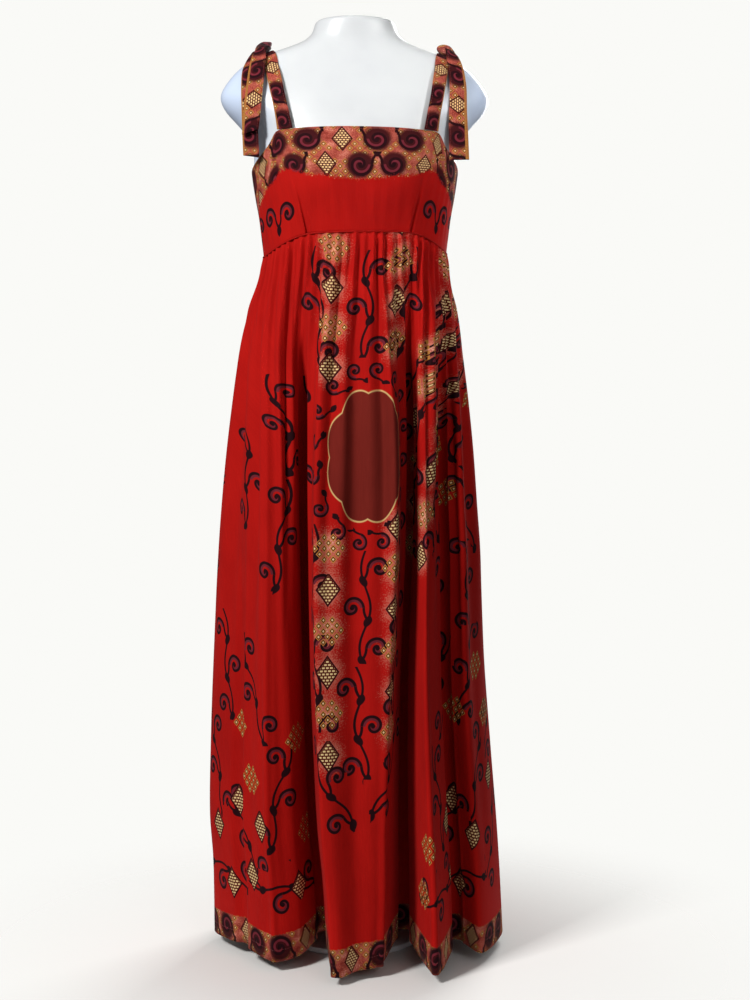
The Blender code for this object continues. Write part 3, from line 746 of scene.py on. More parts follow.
bodiceShape = {
    # height, half width, depth to the front, depth to the back
    "sections": (
        (1.000, 0.1335, 0.1115, 0.0860),
        (1.030, 0.1365, 0.1140, 0.0885),
        (1.060, 0.1405, 0.1180, 0.0915),
        (1.090, 0.1460, 0.1225, 0.0955),
        (1.125, 0.1512, 0.1240, 0.0988),
        (1.150, 0.1520, 0.1180, 0.0988),
        (1.180, 0.1515, 0.1100, 0.0960),
    ),
    "waistFront": 1.028, "waistSide": 1.005, "waistBack": 1.012, "waistTilt": 0.003,
    "levelTo": radians(26), "dropsTo": radians(80),
    "cupX": 0.070, "cupZ": 1.100, "cupReach": 0.042, "cupFullness": 0.009,
    # degrees from the centre, height
    "frontEdge": (
        (0.0, 1.1760), (37.5, 1.1760), (50.2, 1.1740), (56.0, 1.1580), (63.0, 1.1465), (75.0, 1.1345),
        (90.0, 1.1250),
    ),
    "backEdge": ((0.0, 1.1480), (50.0, 1.1480), (57.0, 1.1440), (68.0, 1.1345), (90.0, 1.1250)),
    # degrees from the centre at the waist and at the top edge
    "columns": (
        (0.0, 0.0), (8.0, 9.0), (16.0, 18.5), (24.0, 28.0), (29.3, 37.5), (32.3, 42.5), (35.3, 46.5),
        (41.0, 50.2), (49.0, 56.0), (58.0, 63.0), (66.0, 71.0), (74.0, 78.0), (82.0, 84.0), (90.0, 90.0),
    ),
    "dartAt": 32.3, "dartHalf": 1.1, "dartDepth": 0.0052, "dartTop": 0.60, "dartRoll": 0.0012,
    "pull": 0.0006,  # of the soft ripples above the waist
    # how deep the figured band is: degrees from the centre, depth
    "frontBand": (
        (0.0, 0.077), (20.0, 0.074), (37.0, 0.070), (47.0, 0.062), (56.0, 0.056), (63.0, 0.052),
        (78.0, 0.058), (90.0, 0.066),
    ),
    "backBand": ((0.0, 0.060), (45.0, 0.058), (90.0, 0.066)),
    "finer": 6, "rowCount": 44,
}


def cupFullness(x, z, fullness):
    shape = bodiceShape
    reach = ((abs(x) - shape["cupX"]) ** 2 + (z - shape["cupZ"]) ** 2) / shape["cupReach"] ** 2
    return fullness * exp(-reach)


def waistHeight(angle):
    shape = bodiceShape
    turn = abs((angle + pi) % tau - pi)
    if cos(angle) > 0:
        drop = smoothStep(shape["levelTo"], shape["dropsTo"], turn)
        height = shape["waistFront"] + (shape["waistSide"] - shape["waistFront"]) * drop
    else:
        height = shape["waistSide"] + (shape["waistBack"] - shape["waistSide"]) * smoothStep(pi / 2, pi, turn)
    return height + shape["waistTilt"] * sin(angle)


def bodicePoint(angle, z):
    halfWide, front, back = smoothLookup(bodiceShape["sections"], z)
    x = halfWide * sin(angle)
    if cos(angle) < 0:
        return Vector((x, -back * cos(angle), z))
    fullness = cupFullness(x, z, bodiceShape["cupFullness"])
    return Vector((x, -front * cos(angle) - fullness * cos(angle), z))


def bodiceRows(columns, edgeTable, centre, hasDarts):  # rows from the top edge down, with a finer edge roll
    shape = bodiceShape
    rows = []
    for row in range(shape["rowCount"] + 1):
        share = 1.0 - row / shape["rowCount"]
        points = []
        for waistDegrees, topDegrees in columns:
            waistAngle = centre + radians(waistDegrees)
            top = smoothLookup(edgeTable, abs(topDegrees))[0]
            bottom = waistHeight(waistAngle) + seamGap / 2
            angle = waistAngle + radians(topDegrees - waistDegrees) * share
            point = bodicePoint(angle, bottom + (top - bottom) * share)
            if hasDarts:
                away = abs(abs(waistDegrees) - shape["dartAt"]) / shape["dartHalf"]
                low = max(0.0, 1.0 - share / shape["dartTop"])
                point.y += shape["dartDepth"] * (max(0.0, 1.0 - away) * low)
                point.y -= shape["dartRoll"] * exp(-(away - 1.6) ** 2) * low
            pull = shape["pull"] * sin(waistDegrees * 0.9 + share * 3.0)
            pull = pull * smoothStep(0.0, 0.25, share) * (1 - share)
            points.append(point + Vector((sin(angle), -cos(angle), 0.0)) * pull)
        rows.append(points)
    return rows


def finerColumns(columns, count):
    keyed = [(float(index), *column) for index, column in enumerate(columns)]
    return [tuple(smoothLookup(keyed, step / count)) for step in range((len(columns) - 1) * count + 1)]


def openSeams(rows):
    for row in rows:
        row[0] = row[0] + (row[1] - row[0]).normalized() * seamGap / 2
        row[-1] = row[-1] + (row[-2] - row[-1]).normalized() * seamGap / 2
    return rows


def rowLengths(row):  # distance along a row from its first point
    lengths = [0.0]
    for before, after in zip(row, row[1:]):
        lengths.append(lengths[-1] + (after - before).length)
    return lengths


# motifs on the bodice: kind, u from the middle of the front, height above the waist, size, turn
bodiceMotifs = [
    (kind, side * u, v, side * size, side * turn)
    for side in (-1, 1)
    for kind, u, v, size, turn in (
        ("pair", 0.146, 0.035, 0.0186, 8),
        ("pair", 0.222, 0.036, 0.0166, -6),
    )
]

# half width and half height of each kind in its own units, and how far its origin lies from its middle
motifReach = {
    "pair": (2.30, 1.35, 0.0, -0.25), "single": (1.30, 1.35, 0.9, -0.25),
    "lozenge": (0.80, 1.10, 0.0, 0.0), "cluster": (1.02, 1.06, 0.0, 0.0), "vine": (1.85, 3.90, 0.0, 0.0),
}
longestMotif = 0.09  # in metres from its middle


def motifMaps(sheet, cloth, motifs):
    for layer, kinds in motifLayers.items():
        localMap(sheet, cloth, layer, kinds, [motif for motif in motifs if motif[0] in kinds])


def localMap(sheet, cloth, layer, kinds, motifs):  # gives each face its place in the motif that it lies in
    corners = []
    for face in sheet.data.polygons:
        places = [cloth[index] for index in face.vertices]
        middleU = sum(place[0] for place in places) / 4
        middleV = sum(place[1] for place in places) / 4
        best = None
        for kind, u, v, size, turn in motifs:
            if abs(middleU - u) > longestMotif or abs(middleV - v) > longestMotif:
                continue
            reachX, reachY, shiftX, shiftY = motifReach[kind]
            x, y = motifPlace(middleU - u, middleV - v, size, turn)
            badness = max(abs(x) / reachX, abs(y) / reachY)
            if badness < 1.0 and (best is None or badness < best[0]):
                best = (badness, kind, u, v, size, turn, shiftX, shiftY)
        for placeU, placeV in places:
            if best is None:
                corners.append((-5.0 * motifStep, 0.0))
                continue
            _, kind, u, v, size, turn, shiftX, shiftY = best
            x, y = motifPlace(placeU - u, placeV - v, size, turn)
            corners.append((kinds.index(kind) * motifStep + x + shiftX, y + shiftY))
    giveFaceMap(sheet, layer, corners)


def motifPlace(across, up, size, turn):
    turned = (across * cos(radians(turn)) + up * sin(radians(turn))) / size
    return turned, (up * cos(radians(turn)) - across * sin(radians(turn))) / abs(size)


def buildBodice(material):
    shape = bodiceShape
    half = finerColumns(shape["columns"], shape["finer"])
    whole = [(-waist, -top) for waist, top in reversed(half[1:])] + half
    panels = [("bodice_front", whole, shape["frontEdge"], 0.0, True)]
    for name, first in (("bodice_back_left", -90.0), ("bodice_back_right", 0.0)):
        turns = [first + 90.0 * index / 48 for index in range(49)]
        panels.append((name, [(turn, turn) for turn in turns], shape["backEdge"], pi, False))
    for name, columns, edgeTable, centre, hasDarts in panels:
        rows = placed(openSeams(bodiceRows(columns, edgeTable, centre, hasDarts)))
        sheet = gridObject(name.replace("_", ""), rows)
        lengths = rowLengths(rows[len(rows) // 2])
        middle = lengths[-1] / 2 if hasDarts else 0.0
        top = rows[0]
        bandTable = shape["frontBand" if hasDarts else "backBand"]
        cloth = []
        edge = []
        widths = []
        for row in rows:
            for index, point in enumerate(row):
                cloth.append((lengths[index] - middle, point.z - rows[-1][index].z))
                depth = (point - top[index]).length
                edge.append((lengths[index] - middle, depth))
                widths.append(smoothLookup(bandTable, abs(columns[index][1]))[0])
        giveMap(sheet, "cloth", cloth)
        giveMap(sheet, "edge", edge)
        attribute = sheet.data.attributes.new("bandWidth", "FLOAT", "POINT")
        attribute.data.foreach_set("value", widths)
        motifMaps(sheet, cloth, bodiceMotifs if hasDarts else [])
        stitchLines["neckStitches"].append(lineAcross(rows, trimShape["topAt"], True))
        applyModifier(sheet, "SOLIDIFY", thickness=clothThick, offset=-1.0)
        finishPiece(sheet, material, [name])


# skirt

skirtShape = {
    # height, reach to the wearer's right, reach to the left
    "outline": (
        (0.012, 0.2060, 0.2170), (0.118, 0.2080, 0.2117), (0.188, 0.2130, 0.2070), (0.294, 0.2117, 0.1985),
        (0.400, 0.2087, 0.1911), (0.506, 0.2043, 0.1867), (0.577, 0.1999, 0.1838), (0.647, 0.1940, 0.1779),
        (0.718, 0.1867, 0.1720), (0.788, 0.1779, 0.1646), (0.859, 0.1676, 0.1558), (0.929, 0.1529, 0.1470),
        (1.000, 0.1382, 0.1323),
    ),
    # name, across and depth at the knee, across and depth at the hem, rise of the hem
    "folds": (
        ("right side", -1.00, 0.000, -1.00, 0.000, 0.002),
        ("right dip", -0.80, -0.078, -0.78, -0.078, 0.006),
        ("right crest", -0.62, -0.132, -0.56, -0.136, 0.002),
        ("right slope", -0.45, -0.136, -0.38, -0.124, 0.006),
        ("right valley", -0.33, -0.108, -0.23, -0.082, 0.018),
        ("centre crest right", -0.22, -0.163, -0.150, -0.196, 0.000),
        ("centre dip", 0.05, -0.156, 0.00, -0.178, 0.002),
        ("centre crest left", 0.34, -0.160, 0.15, -0.158, 0.004),
        ("left valley", 0.45, -0.104, 0.30, -0.074, 0.018),
        ("narrow crest", 0.58, -0.142, 0.50, -0.188, 0.000),
        ("narrow valley", 0.73, -0.084, 0.67, -0.084, 0.010),
        ("left crest", 0.87, -0.080, 0.83, -0.102, 0.002),
        ("left side", 1.00, 0.000, 1.00, 0.000, 0.002),
        ("back left dip", 0.91, 0.050, 0.91, 0.048, 0.008),
        ("back left crest", 0.77, 0.098, 0.78, 0.112, 0.000),
        ("back left valley", 0.60, 0.080, 0.60, 0.076, 0.012),
        ("back left lobe", 0.42, 0.122, 0.42, 0.148, 0.000),
        ("back left fullness", 0.20, 0.130, 0.22, 0.162, 0.000),
        ("back centre valley", 0.00, 0.102, 0.00, 0.098, 0.014),
        ("back right fullness", -0.21, 0.130, -0.22, 0.158, 0.000),
        ("back right lobe", -0.43, 0.120, -0.43, 0.144, 0.000),
        ("back right valley", -0.61, 0.078, -0.60, 0.078, 0.012),
        ("back right crest", -0.78, 0.096, -0.78, 0.110, 0.000),
        ("back right dip", -0.91, 0.048, -0.91, 0.046, 0.008),
    ),
    "knee": 0.650, "hem": 0.010, "hemHeight": 0.012, "turn": radians(-4),
    "columnsAFold": 8,  # of the coarse count that the gathers follow
    "fine": 0.0040, "soft": 0.0056, "clearance": 0.0024,
    "rowCount": 118, "rowSpread": 1.5,  # rows lie closer together near the waist
    "hangsFrom": 0.08,  # share of the way down where the cloth leaves the waist's own curve
    "nearValley": 0.26, "valleyStep": 0.45,  # in folds, and as a share of the usual step
    "sideStep": 0.04,  # in folds past each side, to find which way the cloth faces there
}

# the deep narrow valleys: place, start of the valley, depth, half width in columns
skirtValleys = (
    (1.00, 0.30, 0.008, 1.3),
    (4.00, 0.07, 0.030, 1.5),
    (8.00, 0.03, 0.032, 1.15),
    (10.00, 0.08, 0.020, 1.3),
    (15.00, 0.08, 0.020, 1.4),
    (18.30, 0.06, 0.022, 1.4),
    (21.00, 0.08, 0.020, 1.4),
)
# the ridges where a lobe turns: place, start, height, half width in columns
skirtRidges = (
    (2.10, 0.10, 0.005, 0.9),
    (5.00, 0.06, 0.004, 0.9),
    (6.95, 0.04, 0.006, 0.8),
    (9.00, 0.06, 0.004, 0.8),
    (14.0, 0.10, 0.005, 0.9),
    (16.2, 0.10, 0.005, 0.9),
    (19.8, 0.10, 0.005, 0.9),
    (22.0, 0.10, 0.005, 0.9),
)


def skirtBase(place, share):  # place counts the folds round, share runs down
    shape = skirtShape
    folds = shape["folds"]
    angle = -pi / 2 + place * tau / len(folds)
    waist = bodicePoint(angle, waistHeight(angle))
    waist.z -= seamGap / 2
    rise = loopValue([fold[5] for fold in folds], place)
    z = waist.z + (shape["hemHeight"] + max(0.0, rise) - waist.z) * share
    right, left = smoothLookup(shape["outline"], z)
    halfWide = (right + left) / 2
    middle = (left - right) / 2
    keys = []
    for height, column in ((shape["hem"], 3), (shape["knee"], 1)):
        across = loopValue([fold[column] for fold in folds], place)
        depth = loopValue([fold[column + 1] for fold in folds], place)
        turned = Matrix.Rotation(shape["turn"], 2) @ Vector((across * halfWide, depth))
        keys.append((height, turned.x, turned.y))
    waistWide = smoothLookup(bodiceShape["sections"], waist.z)[0]
    keys.append((waist.z, waist.x * halfWide / waistWide, waist.y))
    x, y = smoothLookup(keys, z)
    hang = smoothStep(0.0, shape["hangsFrom"], share)
    return Vector(((x + middle) * hang + waist.x * (1 - hang), y, z))


# soft creases: place, upper end, lower end, depth, half width in columns
skirtCreases = (
    (3.10, -0.06, 0.42, 0.0045, 1.0),
    (4.75, 0.00, 0.34, 0.0040, 0.9),
    (5.35, -0.06, 0.30, 0.0050, 0.9),
    (7.05, -0.06, 0.26, 0.0045, 0.9),
    (9.10, -0.06, 0.34, 0.0045, 1.0),
    (0.75, 0.10, 0.75, 0.0022, 1.2),
    (1.45, 0.06, 0.95, 0.0030, 1.6),
    (2.05, 0.12, 0.60, 0.0024, 1.2),
    (2.60, 0.20, 0.98, 0.0034, 2.0),
    (3.20, 0.08, 0.70, 0.0026, 1.4),
    (5.50, 0.10, 0.42, 0.0024, 1.2),
    (6.10, 0.14, 0.90, 0.0026, 1.8),
    (6.65, 0.06, 0.50, 0.0024, 1.2),
    (9.30, 0.30, 0.96, 0.0022, 1.2),
    (10.6, 0.12, 0.66, 0.0026, 1.4),
    (11.3, 0.20, 0.92, 0.0024, 1.4),
    (13.4, 0.10, 0.80, 0.0028, 1.6),
    (14.4, 0.22, 0.95, 0.0026, 1.6),
    (16.3, 0.08, 0.60, 0.0026, 1.4),
    (17.2, 0.16, 0.96, 0.0030, 1.8),
    (18.9, 0.16, 0.90, 0.0030, 1.8),
    (19.8, 0.08, 0.64, 0.0026, 1.4),
    (21.7, 0.24, 0.94, 0.0026, 1.6),
    (22.8, 0.10, 0.78, 0.0028, 1.6),
)


def gatherDepth(column, share):  # how far a column stands out in the gathers and creases
    shape = skirtShape
    drift = 0.55 * sin(tau * column / 24) + 0.30 * sin(tau * column / 8 + 1.3) * sin(tau * column / 48)
    fineEnd = 0.17 + 0.06 * sin(column * 1.9)
    fine = shape["fine"] * smoothStep(-0.012, 0.02, share) * (1 - smoothStep(0.03, fineEnd, share))
    fine *= 0.8 + 0.3 * sin(column * 0.83 + 1.0)
    soft = shape["soft"] * smoothStep(0.0, 0.13, share) * (1 - smoothStep(0.25, 0.72, share))
    soft *= 0.75 + 0.25 * sin(column * 0.61)
    depth = -fine * cos(column * tau / 3 + drift) - soft * cos(column * tau / 6 + drift)
    for place, top, bottom, crease, half in skirtCreases:
        away = (column - place * shape["columnsAFold"]) / half
        if abs(away) < 3:
            faded = 1 - smoothStep(bottom - 0.15, bottom + 0.02, share)
            depth -= crease * exp(-away * away) * (smoothStep(top, top + 0.12, share) * faded)
    return depth


def valleyDepth(column, share):  # how far the deep valleys go in and the ridges stand out
    depth = 0.0
    for place, top, valley, half in skirtValleys:
        away = (column - place * skirtShape["columnsAFold"]) / half
        if abs(away) < 3:
            depth -= valley * exp(-away ** 4) * smoothStep(top, top + 0.26, share)
    for place, top, ridge, half in skirtRidges:
        away = (column - place * skirtShape["columnsAFold"]) / half
        if abs(away) < 3:
            depth += ridge * exp(-away * away) * smoothStep(top, top + 0.18, share)
    return depth


def columnPlaces(firstFold, lastFold, columnsAFold):  # closer together in the deep valleys
    places = [float(firstFold)]
    while places[-1] < lastFold - 0.4 / columnsAFold:
        near = min(abs(places[-1] - valley[0]) for valley in skirtValleys)
        step = (1 if near > skirtShape["nearValley"] else skirtShape["valleyStep"]) / columnsAFold
        places.append(places[-1] + step)
    places[-1] = float(lastFold)
    return places


skirtPanels = (
    # name, first and last fold, fine columns a fold
    ("skirt_front", 0, 12, 23),
    ("skirt_back_left", 12, 18, 18),
    ("skirt_back_right", 18, 24, 18),
)

# the print: figures in staggered rows, u from the middle of the front and v up from the hem
printShape = {
    "shift": 0.012, "lozenge": 0.0225, "cluster": 0.0240, "vine": 0.0210,
    "panelSide": 0.049, "stagger": 0.026,
    "panelRows": (0.296, 0.352, 0.408, 0.464, 0.520, 0.576, 0.824, 0.880, 0.936, 0.992),
    "lobeRows": (0.560, 0.620, 0.680, 0.740, 0.800, 0.860, 0.920), "lobeSides": (0.186, 0.262),
    "upperRows": (0.852, 0.912, 0.972), "upperSide": 0.150,
    "ringCount": 16, "ringOut": (0.019, 0.021), "ringSize": 0.0142,
    "backFrom": 0.31, "backTop": 0.50, "backShift": 0.275,  # what of the front's print the backs repeat
    "haloWide": 1.3, "haloHigh": 1.45, "haloFall": 1.3,
}
# vines: u from the middle, v above the hem, which way the first spiral turns, turn
vineRuns = (
    (0.004, 0.492, 1, 0), (-0.002, 0.330, -1, 4), (0.064, 0.408, -1, -4), (-0.066, 0.390, 1, 4),
    (0.074, 0.540, 1, 2), (-0.074, 0.528, -1, -4), (0.002, 0.906, 1, 0), (0.068, 0.905, -1, -4),
    (-0.070, 0.900, 1, 4), (-0.128, 0.715, 1, 0), (0.132, 0.715, -1, 0), (-0.052, 0.258, -1, 30),
    (0.056, 0.268, 1, -34), (0.214, 0.610, 1, 0), (0.206, 0.774, -1, 0), (0.206, 0.920, 1, 0),
    (0.286, 0.640, -1, 8), (0.268, 0.800, 1, 4), (-0.212, 0.738, 1, -20), (-0.272, 0.585, -1, -20),
    (-0.332, 0.665, -1, -22), (0.312, 0.750, 1, 36), (0.415, 0.620, -1, 38), (0.345, 0.545, 1, 24),
    (0.440, 0.520, -1, 20), (0.150, 0.840, -1, -6), (-0.360, 0.370, 1, 24), (-0.318, 0.225, -1, -18),
    (-0.440, 0.395, -1, 4), (-0.478, 0.250, 1, 14), (-0.330, 0.095, 1, 84), (-0.405, 0.160, 1, 40),
    (-0.545, 0.150, -1, 16), (-0.480, 0.100, 1, 78), (0.395, 0.370, -1, -24), (0.360, 0.225, 1, 18),
    (0.470, 0.395, 1, -4), (0.512, 0.250, -1, -14), (0.360, 0.095, -1, -84), (0.440, 0.160, -1, -40),
    (0.575, 0.150, 1, -16), (0.505, 0.100, -1, -78), (0.560, 0.330, 1, -10),
)
# single figures: kind, u, v, turn
looseFigures = (
    ("cluster", -0.405, 0.315, 0), ("cluster", -0.375, 0.245, 0), ("cluster", -0.278, 0.300, 0),
    ("lozenge", -0.355, 0.185, 0), ("lozenge", -0.425, 0.205, 0), ("lozenge", -0.480, 0.165, 0),
    ("cluster", -0.268, 0.165, 0), ("lozenge", -0.390, 0.110, 0), ("lozenge", -0.455, 0.085, 0),
    ("cluster", -0.525, 0.330, 0), ("lozenge", -0.535, 0.240, 0), ("lozenge", -0.300, 0.095, 0),
    ("cluster", 0.450, 0.335, 0), ("cluster", 0.420, 0.245, 0), ("cluster", 0.300, 0.095, 0),
    ("lozenge", 0.400, 0.185, 0), ("lozenge", 0.460, 0.205, 0), ("lozenge", 0.510, 0.165, 0),
    ("cluster", 0.318, 0.165, 0), ("lozenge", 0.425, 0.110, 0), ("lozenge", 0.490, 0.085, 0),
    ("cluster", 0.545, 0.330, 0), ("lozenge", 0.565, 0.240, 0), ("cluster", 0.500, 0.400, 0),
    ("cluster", 0.330, 0.790, 0), ("cluster", 0.300, 0.700, 0), ("cluster", 0.360, 0.640, 0),
)


def panelFigures():  # lozenges and clusters that stand in rows beside the vines
    shape = printShape
    figures = []
    for index, v in enumerate(shape["panelRows"]):
        for side in (-1, 1):
            kind = ("lozenge", "cluster")[(index + (side > 0)) % 2]
            height = v + (side > 0) * shape["stagger"]
            figures.append((kind, side * shape["panelSide"], height, side * shape[kind], 0))
    for index, v in enumerate(shape["lobeRows"]):
        for place, u in enumerate(shape["lobeSides"]):
            kind = ("cluster", "lozenge")[(index + place) % 2]
            figures.append((kind, u, v, shape[kind], 0))
    for index, v in enumerate(shape["upperRows"]):
        kind = ("cluster", "lozenge")[index % 2]
        figures.append((kind, shape["upperSide"], v, shape[kind], 0))
    return figures


def ringFigures():  # small scrolls that stand round the medallion
    shape = printShape
    figures = []
    for index in range(shape["ringCount"]):
        angle = tau * (index + 0.5) / shape["ringCount"]
        u = medallionShape["middle"] + (medallionShape["halfWide"] + shape["ringOut"][0]) * cos(angle)
        v = medallionShape["height"] + (medallionShape["halfHigh"] + shape["ringOut"][1]) * sin(angle)
        figures.append(("single", u, v, shape["ringSize"], degrees(angle)))
    return figures


frontMotifs = panelFigures() + ringFigures()
frontMotifs += [("vine", u, v, way * printShape["vine"], turn) for u, v, way, turn in vineRuns]
frontMotifs += [
    (kind, u, v, printShape[kind] * (-1 if u < 0 else 1), turn) for kind, u, v, turn in looseFigures
]
backMotifs = [
    (kind, u - printShape["backShift"], v, size, turn) for kind, u, v, size, turn in frontMotifs
    if u > printShape["backFrom"] and (v < printShape["backTop"] or kind == "vine")
]
haloSpots = [
    (u, v, printShape["haloWide"] * abs(size), printShape["haloHigh"] * abs(size))
    for _, u, v, size, _ in panelFigures()
]


def haloAt(u, v):
    total = 0.0
    for spotU, spotV, across, up in haloSpots:
        away = ((u - spotU) / across) ** 2 + ((v - spotV) / up) ** 2
        if away < 4:
            total = max(total, exp(-away * printShape["haloFall"]))
    return total


def skirtGrid(firstFold, lastFold, columnsAFold):  # rows of points, and each one's distance along the cloth
    shape = skirtShape
    inner = columnPlaces(firstFold, lastFold, columnsAFold)
    places = [inner[0] - shape["sideStep"], *inner, inner[-1] + shape["sideStep"]]
    rows = []
    lengths = []
    for row in range(shape["rowCount"] + 1):
        share = (row / shape["rowCount"]) ** shape["rowSpread"]
        base = [skirtBase(place, share) for place in places]
        smooth = []
        points = []
        for index in range(1, len(base) - 1):
            along = base[index + 1] - base[index - 1]
            outward = Vector((along.y, -along.x, 0.0)).normalized()
            column = places[index] * shape["columnsAFold"]
            smooth.append(base[index] + outward * valleyDepth(column, share))
            point = smooth[-1] + outward * gatherDepth(column, share)
            while point.z > formShape["sections"][0][0] and insideForm(*point, shape["clearance"]):
                point = point + outward * 0.0005
            points.append(point)
        rows.append(points)
        lengths.append(rowLengths(smooth))
    return rows, lengths, inner


def buildSkirt(frontMaterial, backMaterial):
    for name, firstFold, lastFold, columnsAFold in skirtPanels:
        rows, lengths, places = skirtGrid(firstFold, lastFold, columnsAFold)
        rows = placed(openSeams(rows))
        isFront = name == "skirt_front"
        sheet = gridObject(name.replace("_", ""), rows)
        middle = min(range(len(places)), key=lambda index: abs(places[index] - 6.0))
        cloth = []
        halo = []
        for row, along in zip(rows, lengths):
            for index, point in enumerate(row):
                u = along[index] - (along[middle] + printShape["shift"] if isFront else 0.0)
                v = point.z - rows[-1][index].z
                cloth.append((u, v))
                halo.append(haloAt(u, v) if isFront else 0.0)
        giveMap(sheet, "cloth", cloth)
        attribute = sheet.data.attributes.new("halo", "FLOAT", "POINT")
        attribute.data.foreach_set("value", halo)
        if isFront:
            motifs = frontMotifs
        elif name.endswith("left"):
            motifs = backMotifs
        else:
            motifs = [(kind, lengths[-1][-1] - u, v, -size, -turn) for kind, u, v, size, turn in backMotifs]
        motifMaps(sheet, cloth, motifs)
        applyModifier(sheet, "SOLIDIFY", thickness=clothThick, offset=-1.0)
        finishPiece(sheet, frontMaterial if isFront else backMaterial, [name])
        stitchLines["hemStitches"].append(lineAcross(rows, trimShape["hemAt"], False))
        hemWidth = rowLengths(rows[-1])[-1]
        print(name, "hem", round(hemWidth, 3), "triangles", len(sheet.data.polygons) * 2)


# dress form

formShape = {
    "sections": (
        (0.700, 0.134, 0.078, 0.076), (0.712, 0.142, 0.086, 0.084), (0.780, 0.146, 0.088, 0.086),
        (0.860, 0.136, 0.088, 0.082), (0.930, 0.120, 0.086, 0.076), (1.004, 0.1295, 0.1065, 0.0815),
        (1.030, 0.1325, 0.1090, 0.0840), (1.060, 0.1365, 0.1130, 0.0870), (1.090, 0.1415, 0.1170, 0.0910),
        (1.125, 0.1470, 0.1180, 0.0945), (1.150, 0.1480, 0.1120, 0.0945), (1.165, 0.1500, 0.1050, 0.0940),
        (1.180, 0.1580, 0.0980, 0.0930), (1.198, 0.1735, 0.0905, 0.0905), (1.214, 0.1880, 0.0845, 0.0870),
        (1.230, 0.1960, 0.0785, 0.0830), (1.246, 0.1935, 0.0715, 0.0765), (1.270, 0.1760, 0.0620, 0.0650),
        (1.286, 0.1560, 0.0560, 0.0560), (1.298, 0.1310, 0.0510, 0.0510), (1.308, 0.1020, 0.0480, 0.0480),
        (1.318, 0.0780, 0.0465, 0.0480), (1.330, 0.0640, 0.0470, 0.0490), (1.344, 0.0590, 0.0475, 0.0500),
        (1.348, 0.0555, 0.0445, 0.0470),
    ),
    "cupFullness": 0.008, "columnCount": 108, "rowsAStep": 3, "shoulderTop": 1.275,
}


def formRadii(z, clearance):
    return [value + clearance for value in smoothLookup(formShape["sections"], z)]


def insideForm(x, y, z, clearance):
    halfWide, front, back = formRadii(z, clearance)
    return (x / halfWide) ** 2 + (y / (front if y < 0 else back)) ** 2 < 1


def laidOnForm(point):  # moves a ribbon's point out of the form
    clearance = tieThick / 2 + 0.0007
    if point.z < formShape["shoulderTop"]:
        if not insideForm(point.x, point.y, point.z, clearance):
            return point
        halfWide, front, back = formRadii(point.z, clearance)
        reach = (1 - (point.x / halfWide) ** 2) ** 0.5
        point.y = -front * reach if point.y < 0 else back * reach
        return point
    while insideForm(point.x, point.y, point.z - clearance, clearance / 2):
        point.z += 0.0001
    return point


def buildForm(material):
    shape = formShape
    sections = shape["sections"]
    keyed = [(float(index), *section) for index, section in enumerate(sections)]
    rings = []
    for step in range((len(sections) - 1) * shape["rowsAStep"] + 1):
        z, halfWide, front, back = smoothLookup(keyed, step / shape["rowsAStep"])
        ring = []
        for column in range(shape["columnCount"] + 1):
            angle = tau * column / shape["columnCount"]
            x = halfWide * sin(angle)
            y = -cos(angle) * (front if cos(angle) > 0 else back)
            if cos(angle) > 0:
                y -= cupFullness(x, z, shape["cupFullness"]) * cos(angle)
            ring.append(Vector((x, y, z)))
        rings.append(ring)
    torso = gridObject("torsoShell", placed(reversed(rings)))
    solid = bmesh.new()
    solid.from_mesh(torso.data)
    bmesh.ops.remove_doubles(solid, verts=solid.verts, dist=0.00001)
    rims = [edge for edge in solid.edges if edge.is_boundary]
    capped = bmesh.ops.contextual_create(solid, geom=rims)["faces"]
    bmesh.ops.inset_region(solid, faces=capped, thickness=0.004, depth=0.0)
    bmesh.ops.recalc_face_normals(solid, faces=solid.faces)
    solid.to_mesh(torso.data)
    solid.free()
    torso.data.shade_smooth()
    torso.data.set_sharp_from_angle(angle=radians(50))
    finishPiece(torso, material, ["form_torso"])


# shoulder ties

